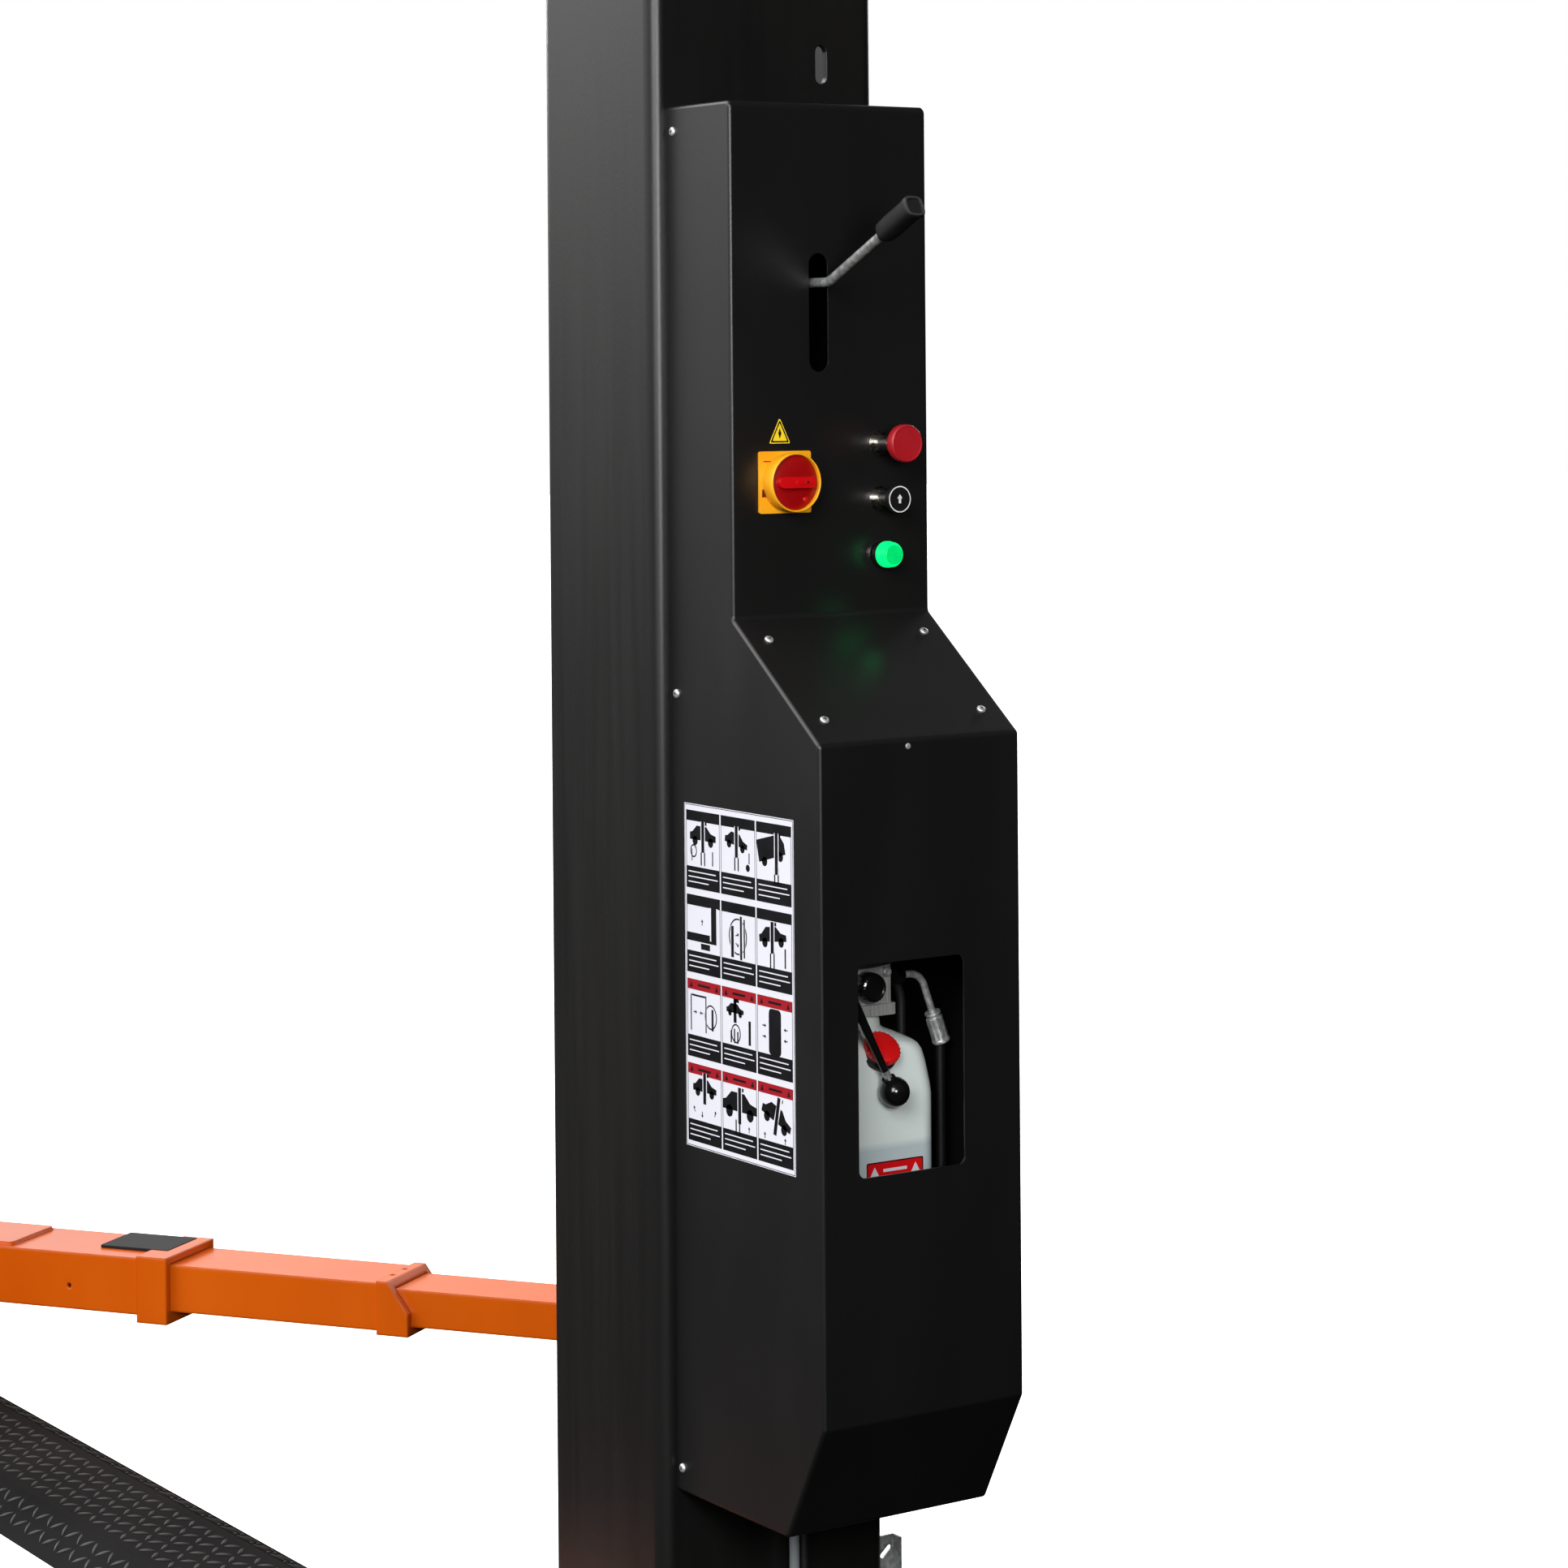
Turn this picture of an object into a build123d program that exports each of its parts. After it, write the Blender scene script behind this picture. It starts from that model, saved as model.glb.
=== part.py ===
"""Two-post vehicle lift: a power column with its controls, an offside column, and four telescopic arms.

Millimetres. The floor is z = 0, +X points at the power column, -Y is the front (where a car drives in)
and the origin lies on the floor midway between the columns.
"""
import os
from math import cos, radians, sin

from build123d import *

os.makedirs("parts", exist_ok=True)

# ---------------------------------------------------------------- driving dimensions
# columns
column_span = 3230.0        # outer web to outer web
column_height = 2850.0      # floor to the top of the column
column_width = 290.0        # along Y
column_depth = 230.0        # along X, web to lip
column_wall = 8.0
column_lip = 50.0           # returned lip beside the opening
column_bend = 16.0          # outer radius of the cold-formed corners
cap_thickness = 6.0
web_slot_height = 42.0
web_slot_width = 15.0
web_slot_y = 73.5
web_slot_z = 2015.0

# base plates
base_thickness = 20.0
base_length = 360.0         # along X
base_width = 460.0          # along Y
base_overhang = 40.0        # in front of the column's opening
anchor_spacing_x = 300.0
anchor_spacing_y = 400.0
anchor_hole = 20.0
gusset_thickness = 10.0
gusset_height = 90.0
gusset_length = 75.0

# floor cover
ramp_height = 35.0
ramp_flat = 156.0
ramp_run = 69.0             # each sloped side
ramp_plate = 4.0

# hydraulic cylinders, sheaves and lifting chains
lift_stroke = 870.0         # the carriage travels twice as far
barrel_diameter = 76.0
barrel_bore = 60.0
barrel_top = 1120.0
rod_diameter = 45.0
sheave_z = 1210.0
barrel_to_chain = 12.0      # from the barrel to the chain's pitch line
chain_width = 16.0
chain_depth = 10.0
chain_anchor_z = 110.0
sheave_lip = 8.0            # flange beyond the chain's pitch line
sheave_width = 26.0
sheave_pin = 24.0

# carriages
carriage_bottom = 80.0
carriage_top = 900.0
side_block = 19.0           # room for a slide block on each side of the carriage
face_block = 11.0           # the same between the carriage and the web or the lips
carriage_wall = 10.0
pad_length = 120.0          # height of each slide block
slide_gap = 0.3

# arm hinges
hinge_offset = 82.0         # from the column's opening to the hinge line, towards the middle
hinge_y = 140.0
arm_pin = 44.0
pin_clearance = 0.05
lug_thickness = 20.0
lug_radius = 62.0
arm_rest_angle = 35.0       # every arm, from the line between the columns
arm_gap = 0.3               # a moving face above the one that it rests on

# telescopic arms
arm_bottom = 115.0
arm_height = 95.0
arm_width = 150.0
arm_wall = 8.0
arm_root = 90.0             # solid root, from the hinge line to the hollow
stage_gap = 1.0             # each side, between one tube and the next
collar_length = 57.0
collar_thickness = 4.0
collar_drop = 12.0
collar_cut = (37.0, 50.0)   # corner cut off the middle tube's collar: along the arm, down its side
collar_vent = 8.0           # square holes in the top of the middle tube's collar
collar_vent_pitch = 22.0
collar_vent_back = 50.0     # from the collar's end
rib_thickness = 6.0         # plate welded on top of the outer tube
rib_width = 130.0
rib_span = (85.0, 250.0)    # from the hinge line
drain_hole = 8.0            # through both sides of the outer tube
drain_place = (367.0, 154.0)    # from the hinge line, height
rear_outer_length = 556.0
rear_middle_length = 552.0
rear_middle_travel = 351.0
rear_inner_length = 512.0     # to the pad's axis
rear_inner_travel = 327.0
rear_inner_start = 210.0    # root of the retracted inner tube, from the hinge line
front_outer_length = 470.0
front_inner_length = 443.0    # to the pad's axis
front_inner_travel = 300.0
root_gap = 5.0              # a retracted tube stops this far from the hollow's end

# arm pads
head_radius = 48.0
pad_screw = 50.0
pad_radius = 60.0
pad_plate = 10.0
pad_rubber = 16.0
pad_travel = 40.0

# control cover on the power column's web
cover_width = 252.0
cover_top = 1963.0
cover_bottom = 492.0
cover_depth_upper = 121.0
cover_depth_lower = 278.0
cover_depth_foot = 211.0
fold_upper = 1424.0
fold_lower = 1305.0
foot_fold = 615.0
sheet = 2.0
sheet_bend = 4.0            # outer radius of the folds along the sides
cross_bend = 7.0            # outer radius of the folds across the front
lever_slot_y = -15.0
lever_slot_width = 24.0
lever_slot_low = 1680.0
lever_slot_high = 1805.0
window_y = (-80.5, 52.5)
window_z = (864.0, 1080.0)
window_radius = 8.0
line_exit = (30.0, 60.0)    # notch in the cover's floor for the hose and the cable: depth, width

# controls on the upper front
isolator_y = -60.5
isolator_z = 1565.0
isolator_side = 65.0
isolator_plate_thickness = 3.0
knob_diameter = 62.0
button_y = 60.0
estop_z = 1604.0
estop_diameter = 40.0
up_button_z = 1545.0
up_button_diameter = 29.0
lamp_z = 1486.0
lamp_diameter = 28.0
panel_hole = 22.3
neck_diameter = 17.0
control_clearance = 0.1

# release lever
lever_z = 1774.0
lever_pivot_depth = 30.0    # from the web
lever_rod = 10.0
grip_diameter = 24.0
grip_length = 62.0
lever_reach = 140.0         # from the web to the lever's bend
lever_rise = 25.4           # degrees, beyond the bend
lever_grip_start = 240.0    # from the web

# power unit
unit_depth = 135.0          # web to the unit's axis
unit_y = -17.0
motor_diameter = 140.0
motor_low = 1062.0
motor_high = 1290.0
block_low = 1020.0
block_size = (96.0, 92.0)
flange_thickness = 12.0
tank_top = 984.0
tank_bottom = 700.0
tank_depth = 130.0
tank_width = 170.0
tank_wall = 3.0
tank_neck = 96.0

# ladder, pawl and chain lug
ladder_thickness = 8.0
chain_lug_top = 190.0
pawl_off_web = 49.0         # pivot, from the web
pawl_z = 935.0
pawl_width = 20.0
pawl_pin = 12.0

# hoses
pressure_y = 13.6
return_y = 26.0
pressure_hose_diameter = 11.0
return_hose_diameter = 10.0
line_off_web = 15.0
line_z = 55.0               # where the hoses pass through the web
floor_pipe = 10.0

# screws and labels
screw_head = 10.0
screw_head_height = 2.5
screw_shank = 4.8
screw_hole = 5.2
screw_length = 10.0
side_screw_depth = 12.0
side_screw_heights = (1936.0, 1340.0, 518.0)
slope_screw_shares = (0.175, 0.815)
slope_screw_y = 99.0
rivet_place = (-16.0, 1298.0)
rivet_hole = 3.2
label_thickness = 0.5
hazard_corners = ((-80.0, 1605.5), (-51.0, 1605.5), (-65.5, 1635.0))
decal_depth = (25.0, 231.0)
decal_z = (864.0, 1226.0)

# electrical enclosure
enclosure_depth = 56.0
enclosure_half = 100.0
enclosure_z = (1445.0, 1660.0)

# button stems
neck_proud = 28.0           # neck beyond the panel
stem_radius = 6.0
estop_travel = 4.0
up_travel = 3.0
lamp_seat = 6.0

# cable angle on the power column's rear flange
angle_leg = 23.0
angle_return = 14.0
angle_thickness = 2.5
angle_z = (150.0, 390.0)
angle_slot = (18.0, 6.0)

# lever hub and pin
lever_hub = 14.0            # width along Y
lever_pin = 8.0

# lowering lever
valve_y = -52.0
valve_z = 1046.0
valve_depth = 219.0
ball_diameter = 32.0
filler_y = -2.0
filler_radius = 17.0
filler_length = 12.0
outlet_depth = 165.0
outlet_z = 1044.0
pressure_drop = (104.0, 968.0)   # y and height of the hose's upper end
ball_y = 6.0
ball_z = 934.0

# ---------------------------------------------------------------- places worked out from them
chain_radius = barrel_diameter / 2 + barrel_to_chain        # pitch radius on the sheave
sheave_flange = chain_radius + sheave_lip
carriage_width = column_width - 2 * (column_wall + side_block)
carriage_depth = column_depth - 2 * (column_wall + face_block)
web_x = column_span / 2
open_x = web_x - column_depth
well_x = (web_x - column_wall + open_x + column_wall) / 2      # middle of the column's inside
well_half_y = column_width / 2 - column_wall
opening_half_y = column_width / 2 - column_lip
hinge_x = open_x - hinge_offset
pawl_x = web_x - pawl_off_web
arm_top = arm_bottom + arm_height
lug_low = arm_bottom - arm_gap - lug_thickness
lug_high = arm_top + arm_gap
base_x = open_x + base_length / 2 - base_overhang
outlet = (web_x + outlet_depth, outlet_z)
pressure_top = (web_x + outlet_depth, pressure_drop[0], pressure_drop[1])
tank_span = (unit_y - tank_width / 2, unit_y + tank_width / 2)
side_screw_places = [(web_x + side_screw_depth, z) for z in side_screw_heights]


def save(part, name):
    """Label a finished piece and write it as its own STEP file."""
    part.label = name
    export_step(part, f"parts/{name}.step")


def save_pair(part, name):
    """Write the power side's piece and its mirror image on the offside."""
    save(part, f"power_{name}")
    save(mirror(part, about=Plane.YZ), f"offside_{name}")


def save_both(part, name):
    """Write a fixed piece and its mirror image as two solids of one file."""
    save(Compound([part.solid(), mirror(part, about=Plane.YZ).solid()]), name)


def block(x, y, z):
    """A box between two places on each axis, added to the current part."""
    middle = [(low + high) / 2 for low, high in (x, y, z)]
    with Locations(tuple(middle)):
        Box(x[1] - x[0], y[1] - y[0], z[1] - z[0])


def pipe(points, radii, diameter, wall=0.0):
    """A round pipe along straight runs that are joined by tangent arcs."""
    with BuildPart() as tube:
        with BuildLine() as route:
            FilletPolyline(*points, radius=radii)
        with BuildSketch(Plane(origin=route.line @ 0, z_dir=route.line % 0)):
            Circle(diameter / 2)
            if wall:
                Circle(diameter / 2 - wall, mode=Mode.SUBTRACT)
        sweep(path=route.line)
    return tube.part



# ---------------------------------------------------------------- columns and base plates
def column():
    """Cold-formed C channel with returned lips, open towards the middle of the bay."""
    with BuildPart() as post:
        with BuildSketch(Plane.XY.offset(base_thickness)):
            with Locations((web_x - column_depth / 2, 0)):
                RectangleRounded(column_depth, column_width, column_bend)
                RectangleRounded(
                    column_depth - 2 * column_wall,
                    column_width - 2 * column_wall,
                    column_bend - column_wall,
                    mode=Mode.SUBTRACT,
                )
            with Locations((open_x, 0)):
                Rectangle(3 * column_wall, 2 * opening_half_y, mode=Mode.SUBTRACT)
        extrude(amount=column_height - cap_thickness - base_thickness)
        with BuildSketch(Plane.YZ.offset(web_x)):
            with Locations((web_slot_y, web_slot_z)):
                SlotOverall(web_slot_height, web_slot_width, rotation=90)
            with Locations(((pressure_y + return_y) / 2, line_z + 6.0)):
                RectangleRounded(return_y - pressure_y + 24.0, 32.0, 6.0)
        extrude(amount=-2 * column_wall, mode=Mode.SUBTRACT)
    return post.part


def base_plate():
    """Floor plate with four anchor holes and six welded gussets around the column's foot."""
    foot_y = column_width / 2
    plate_top = base_thickness
    with BuildPart() as plate:
        with BuildSketch():
            with Locations((base_x, 0)):
                RectangleRounded(base_length, base_width, 12.0)
                with GridLocations(anchor_spacing_x, anchor_spacing_y, 2, 2):
                    Circle(anchor_hole / 2, mode=Mode.SUBTRACT)
        extrude(amount=base_thickness)
        for x in (web_x - 0.7 * column_depth, web_x - 0.25 * column_depth):
            for side in (-1, 1):
                with BuildSketch(Plane.YZ.offset(x)):
                    Polygon(
                        (side * foot_y, plate_top),
                        (side * (foot_y + gusset_length), plate_top),
                        (side * foot_y, plate_top + gusset_height),
                        align=None,
                    )
                extrude(amount=gusset_thickness / 2, both=True)
        for y in (-0.25 * column_width, 0.25 * column_width):
            with BuildSketch(Plane.XZ.offset(-y)):
                Polygon(
                    (web_x, plate_top),
                    (web_x + gusset_length, plate_top),
                    (web_x, plate_top + gusset_height),
                    align=None,
                )
            extrude(amount=gusset_thickness / 2, both=True)
        block(
            (well_x - chain_width / 2, well_x + chain_width / 2),
            (-chain_radius - chain_depth, -chain_radius + chain_depth / 2),
            (base_thickness, chain_anchor_z),
        )
    return plate.part


def column_cap():
    """Flat plate that closes the column's top."""
    with BuildPart() as cap:
        with BuildSketch(Plane.XY.offset(column_height - cap_thickness)):
            with Locations((web_x - column_depth / 2, 0)):
                RectangleRounded(column_depth, column_width, column_bend)
        extrude(amount=cap_thickness)
    return cap.part


def floor_cover():
    """Bent tread plate over the line between the columns, with a ramp on each side."""
    foot = ramp_flat / 2 + ramp_run
    slope = ramp_run / ramp_height
    inset = ramp_plate * (1 + slope**2) ** 0.5
    inner_height = ramp_height - ramp_plate
    with BuildPart() as ramp:
        with BuildSketch(Plane.YZ):
            Polygon(
                (-foot, 0),
                (foot, 0),
                (ramp_flat / 2, ramp_height),
                (-ramp_flat / 2, ramp_height),
                align=None,
            )
            Polygon(
                (-foot + inset, 0),
                (foot - inset, 0),
                (foot - inset - slope * inner_height, inner_height),
                (-foot + inset + slope * inner_height, inner_height),
                align=None,
                mode=Mode.SUBTRACT,
            )
        extrude(amount=base_x - base_length / 2, both=True)
    return ramp.part


# ---------------------------------------------------------------- hydraulic cylinders and chains
def cylinder():
    """Barrel with a closed foot and a gland that guides the rod."""
    gland = 20.0
    foot = 15.0
    with BuildPart() as barrel:
        with BuildSketch(Plane.XY.offset(base_thickness)):
            with Locations((well_x, 0)):
                Circle(barrel_diameter / 2)
        extrude(amount=barrel_top - base_thickness)
        with BuildSketch(Plane.XY.offset(base_thickness + foot)):
            with Locations((well_x, 0)):
                Circle(barrel_bore / 2)
        extrude(amount=barrel_top - gland - base_thickness - foot, mode=Mode.SUBTRACT)
        with BuildSketch(Plane.XY.offset(barrel_top - gland)):
            with Locations((well_x, 0)):
                Circle(rod_diameter / 2 + pin_clearance)
        extrude(amount=gland, mode=Mode.SUBTRACT)
    return barrel.part


def rod():
    """Piston rod with its piston and the fork that carries the sheave, and the sheave's pin."""
    piston_low = base_thickness + 20.0
    piston_height = 35.0
    fork_low = barrel_top + 5.0
    fork_seat = sheave_z - sheave_flange - 2.0
    cheek = 10.0
    cheek_half = 22.0
    cheek_inner = sheave_width / 2 + 1.0
    foot_half = 26.0
    pin_end = 4.0
    with BuildPart() as stem:
        with BuildSketch(Plane.XY.offset(piston_low)):
            with Locations((well_x, 0)):
                Circle(barrel_bore / 2 - pin_clearance)
        extrude(amount=piston_height)
        with BuildSketch(Plane.XY.offset(piston_low)):
            with Locations((well_x, 0)):
                Circle(rod_diameter / 2)
        extrude(amount=fork_low - piston_low)
        reach = cheek_inner + cheek
        block((well_x - reach, well_x + reach), (-foot_half, foot_half), (fork_low, fork_seat))
        for low in (well_x - reach, well_x + cheek_inner):
            block((low, low + cheek), (-cheek_half, cheek_half), (fork_seat, sheave_z + cheek_half))
        with BuildSketch(Plane.YZ.offset(well_x)):
            with Locations((0, sheave_z)):
                Circle(sheave_pin / 2)
        extrude(amount=2 * reach, both=True, mode=Mode.SUBTRACT)
    with BuildPart() as pin:
        with BuildSketch(Plane.YZ.offset(well_x)):
            with Locations((0, sheave_z)):
                Circle(sheave_pin / 2 - pin_clearance)
        extrude(amount=reach + pin_end, both=True)
    return Compound([stem.part.solid(), pin.part.solid()])


def sheave():
    """Grooved chain wheel on the rod's fork."""
    groove = chain_radius - chain_depth / 2 - slide_gap
    half = sheave_width / 2
    rim = half - 4.0
    with BuildPart() as wheel:
        with BuildSketch(Plane.XY.offset(sheave_z)):
            with Locations((well_x, 0)):
                with BuildLine():
                    Polyline(
                        (well_x - half, sheave_pin / 2),
                        (well_x - half, sheave_flange),
                        (well_x - rim, sheave_flange),
                        (well_x - rim, groove),
                        (well_x + rim, groove),
                        (well_x + rim, sheave_flange),
                        (well_x + half, sheave_flange),
                        (well_x + half, sheave_pin / 2),
                        close=True,
                    )
            make_face()
        revolve(axis=Axis((well_x, 0, sheave_z), (1, 0, 0)))
    return wheel.part


def anchor_chain():
    """Run from the anchor on the base plate up to the sheave."""
    with BuildPart() as chain:
        block(
            (well_x - chain_width / 2, well_x + chain_width / 2),
            (-chain_radius - chain_depth / 2, -chain_radius + chain_depth / 2),
            (chain_anchor_z, sheave_z),
        )
    return chain.part


def lift_chain():
    """Half turn over the sheave and the run down to the lug inside the carriage."""
    with BuildPart() as chain:
        with BuildSketch(Plane.YZ.offset(well_x - chain_width / 2)):
            with Locations((0, sheave_z)):
                Circle(chain_radius + chain_depth / 2)
                Circle(chain_radius - chain_depth / 2, mode=Mode.SUBTRACT)
            with Locations((0, sheave_z - chain_radius)):
                Rectangle(4 * chain_radius, 2 * chain_radius, mode=Mode.SUBTRACT)
        extrude(amount=chain_width)
        block(
            (well_x - chain_width / 2, well_x + chain_width / 2),
            (chain_radius - chain_depth / 2, chain_radius + chain_depth / 2),
            (chain_lug_top, sheave_z),
        )
    return chain.part


def ladder():
    """Slotted latch bar on the inside of the column's web."""
    first = 1020.0
    pitch = 100.0
    slot = (30.0, 26.0)
    low = 300.0
    high = column_height - 100.0
    count = int((high - slot[0] - first) / pitch) + 1
    with BuildPart() as bar:
        block((web_x - column_wall - ladder_thickness, web_x - column_wall), (-25.0, 25.0), (low, high))
        with BuildSketch(Plane.YZ.offset(web_x - column_wall)):
            with Locations((0, first + pitch * (count - 1) / 2)):
                with GridLocations(pitch, pitch, 1, count):
                    Rectangle(slot[1], slot[0])
        extrude(amount=-ladder_thickness, mode=Mode.SUBTRACT)
    return bar.part


# ---------------------------------------------------------------- carriages
def carriage():
    """Box-section slider with the chain's lug, the latch's ears and the two pairs of arm lugs."""
    half_x = carriage_depth / 2
    half_y = carriage_width / 2
    neck_half = opening_half_y - 7.0
    neck_front = open_x - 7.0
    lug_top = lug_high + lug_thickness
    with BuildPart() as slider:
        with BuildSketch(Plane.XY.offset(carriage_bottom)):
            with Locations((well_x, 0)):
                RectangleRounded(carriage_depth, carriage_width, 12.0)
                Rectangle(
                    carriage_depth - 2 * carriage_wall,
                    carriage_width - 2 * carriage_wall,
                    mode=Mode.SUBTRACT,
                )
        extrude(amount=carriage_top - carriage_bottom)
        front = well_x - half_x
        block((neck_front, front + carriage_wall), (-neck_half, neck_half), (lug_low, lug_top))
        for low in (lug_low, lug_high):
            with BuildSketch(Plane.XY.offset(low)):
                with Locations((hinge_x, -hinge_y), (hinge_x, hinge_y)):
                    Circle(lug_radius)
                with Locations(((hinge_x + neck_front) / 2, 0)):
                    Rectangle(neck_front - hinge_x, 2 * neck_half)
                make_hull()
                with Locations((hinge_x, -hinge_y), (hinge_x, hinge_y)):
                    Circle(arm_pin / 2 + pin_clearance, mode=Mode.SUBTRACT)
            extrude(amount=lug_thickness)
        block((hinge_x - 45.0, neck_front), (-25.0, 25.0), (lug_low, lug_top))
        block(
            (well_x - chain_width, well_x + chain_width),
            (chain_radius - chain_depth / 2 - 1.0, half_y - carriage_wall),
            (chain_lug_top - 40.0, chain_lug_top),
        )
        back = well_x + half_x
        for side in (-1, 1):
            ear = sorted((side * (pawl_width / 2 + 1.0), side * (pawl_width / 2 + 11.0)))
            block((pawl_x - 10.0, back), ear, (carriage_top - 20.0, pawl_z + 15.0))
        with BuildSketch(Plane.XZ):
            with Locations((pawl_x, pawl_z)):
                Circle(pawl_pin / 2 + pin_clearance)
        extrude(amount=column_width, both=True, mode=Mode.SUBTRACT)
    return slider.part


def slide_blocks():
    """Twelve low-friction blocks that guide the carriage in the column."""
    half_x = carriage_depth / 2
    half_y = carriage_width / 2
    lip_inner = open_x + column_wall + slide_gap
    web_inner = web_x - column_wall - slide_gap
    side_inner = well_half_y - slide_gap
    with BuildPart() as blocks:
        for low in (carriage_bottom + 30.0, carriage_top - 10.0 - pad_length):
            high = low + pad_length
            for side in (-1, 1):
                block((well_x - 60.0, well_x + 60.0), sorted((side * half_y, side * side_inner)), (low, high))
                lip_run = sorted((side * (opening_half_y + 3.0), side * (opening_half_y + 11.0)))
                web_run = sorted((side * (half_y - 58.0), side * (half_y - 18.0)))
                block((lip_inner, well_x - half_x), lip_run, (low, high))
                block((well_x + half_x, web_inner), web_run, (low, high))
    return blocks.part


def arm_pins():
    """Two headed hinge pins."""
    with BuildPart() as pins:
        with BuildSketch(Plane.XY.offset(lug_low - 8.0)):
            with Locations((hinge_x, -hinge_y), (hinge_x, hinge_y)):
                Circle(arm_pin / 2)
        extrude(amount=lug_high + lug_thickness - lug_low + 8.0)
        with BuildSketch(Plane.XY.offset(lug_high + lug_thickness)):
            with Locations((hinge_x, -hinge_y), (hinge_x, hinge_y)):
                Circle(arm_pin / 2 + 8.0)
        extrude(amount=8.0)
    return pins.part


def pawl():
    """Latch dog that rides on the ladder, with its pin."""
    tip = web_x - column_wall - ladder_thickness - slide_gap
    with BuildPart() as dog:
        with BuildSketch(Plane.XZ):
            with BuildLine():
                Polyline(
                    (pawl_x - 9.0, pawl_z - 6.0),
                    (pawl_x + 6.0, pawl_z - 9.0),
                    (tip, pawl_z + 38.0),
                    (tip, pawl_z + 56.0),
                    (tip - 14.0, pawl_z + 56.0),
                    close=True,
                )
            make_face()
        extrude(amount=pawl_width / 2, both=True)
        with BuildSketch(Plane.XZ):
            with Locations((pawl_x, pawl_z)):
                Circle(pawl_pin / 2)
        extrude(amount=pawl_width / 2 + 13.0, both=True)
    return dog.part


# ---------------------------------------------------------------- arms
def arm_plane(side, end):
    """Frame of an arm at rest: origin on its hinge line at the floor, X along the arm."""
    angle = radians(arm_rest_angle)
    return Plane(
        origin=(side * hinge_x, end * hinge_y, 0),
        x_dir=(-side * cos(angle), end * sin(angle), 0),
        z_dir=(0, 0, 1),
    )


def stage(number):
    """Width, height and underside of a tube: 0 is the outer one."""
    width = arm_width
    height = arm_height
    bottom = arm_bottom
    for _ in range(number):
        width -= 2 * arm_wall + 2 * stage_gap
        height -= 2 * arm_wall + arm_gap + stage_gap
        bottom += arm_wall + arm_gap
    return width, height, bottom


def outer_tube(side, end, length):
    """Hinged outer tube with a solid root and a collar at its mouth."""
    width, height, bottom = stage(0)
    frame = arm_plane(side, end)
    with BuildPart() as tube:
        with BuildSketch(frame.offset(bottom)):
            Circle(width / 2)
            with Locations((length / 2, 0)):
                Rectangle(length, width)
        extrude(amount=height)
        with BuildSketch(frame.offset(bottom - collar_drop)):
            with Locations((length - collar_length / 2, 0)):
                Rectangle(collar_length, width + 2 * collar_thickness)
        extrude(amount=height + collar_drop + collar_thickness)
        with BuildSketch(frame.offset(bottom + arm_wall)):
            with Locations(((length + arm_root) / 2, 0)):
                Rectangle(length - arm_root, width - 2 * arm_wall)
        extrude(amount=height - 2 * arm_wall, mode=Mode.SUBTRACT)
        with BuildSketch(frame.offset(bottom)):
            Circle(arm_pin / 2 + pin_clearance)
        extrude(amount=height, mode=Mode.SUBTRACT)
        with BuildSketch(frame.offset(bottom + height)):
            with Locations((sum(rib_span) / 2, 0)):
                RectangleRounded(rib_span[1] - rib_span[0], rib_width, 6.0)
        extrude(amount=rib_thickness)
        with BuildSketch(Plane(frame.origin, x_dir=frame.x_dir, z_dir=-frame.y_dir)):
            with Locations(drain_place):
                Circle(drain_hole / 2)
        extrude(amount=width, both=True, mode=Mode.SUBTRACT)
    return tube.part


def middle_tube(side, end, start, length):
    """Open tube with a collar at its outer end."""
    width, height, bottom = stage(1)
    frame = arm_plane(side, end)
    with BuildPart() as tube:
        with BuildSketch(frame.offset(bottom)):
            with Locations((start + length / 2, 0)):
                Rectangle(length, width)
        extrude(amount=height)
        with BuildSketch(frame.offset(bottom - collar_drop / 2)):
            with Locations((start + length - collar_length / 2, 0)):
                Rectangle(collar_length, width + 2 * collar_thickness)
        extrude(amount=height + collar_drop / 2 + collar_thickness)
        with BuildSketch(frame.offset(bottom + arm_wall)):
            with Locations((start + length / 2, 0)):
                Rectangle(length, width - 2 * arm_wall)
        extrude(amount=height - 2 * arm_wall, mode=Mode.SUBTRACT)
        end_x = start + length
        top = bottom + height + collar_thickness
        with BuildSketch(Plane(frame.origin, x_dir=frame.x_dir, z_dir=-frame.y_dir)):
            Polygon(
                (end_x - collar_cut[0], top),
                (end_x, top),
                (end_x, top - collar_cut[1]),
                align=None,
            )
        extrude(amount=width, both=True, mode=Mode.SUBTRACT)
        with BuildSketch(frame.offset(top)):
            with Locations((end_x - collar_vent_back, 0)):
                with GridLocations(collar_vent_pitch, 2 * collar_vent_pitch, 1, 2):
                    Rectangle(collar_vent, collar_vent)
        extrude(amount=-(arm_wall + collar_thickness), mode=Mode.SUBTRACT)
    return tube.part


def inner_tube(side, end, number, start, length):
    """Last tube, with the round head that takes the pad's screw."""
    width, height, bottom = stage(number)
    frame = arm_plane(side, end)
    axis = start + length
    with BuildPart() as tube:
        with BuildSketch(frame.offset(bottom)):
            with Locations((start + length / 2, 0)):
                Rectangle(length, width)
            with Locations((axis, 0)):
                Circle(width / 2)
        extrude(amount=height)
        with BuildSketch(frame.offset(bottom + arm_wall)):
            with Locations((start + length / 2 - head_radius, 0)):
                Rectangle(length, width - 2 * arm_wall)
        extrude(amount=height - 2 * arm_wall, mode=Mode.SUBTRACT)
        with BuildSketch(frame.offset(bottom)):
            with Locations((axis, 0)):
                Circle(pad_screw / 2 + pin_clearance)
        extrude(amount=height, mode=Mode.SUBTRACT)
    return tube.part


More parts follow.
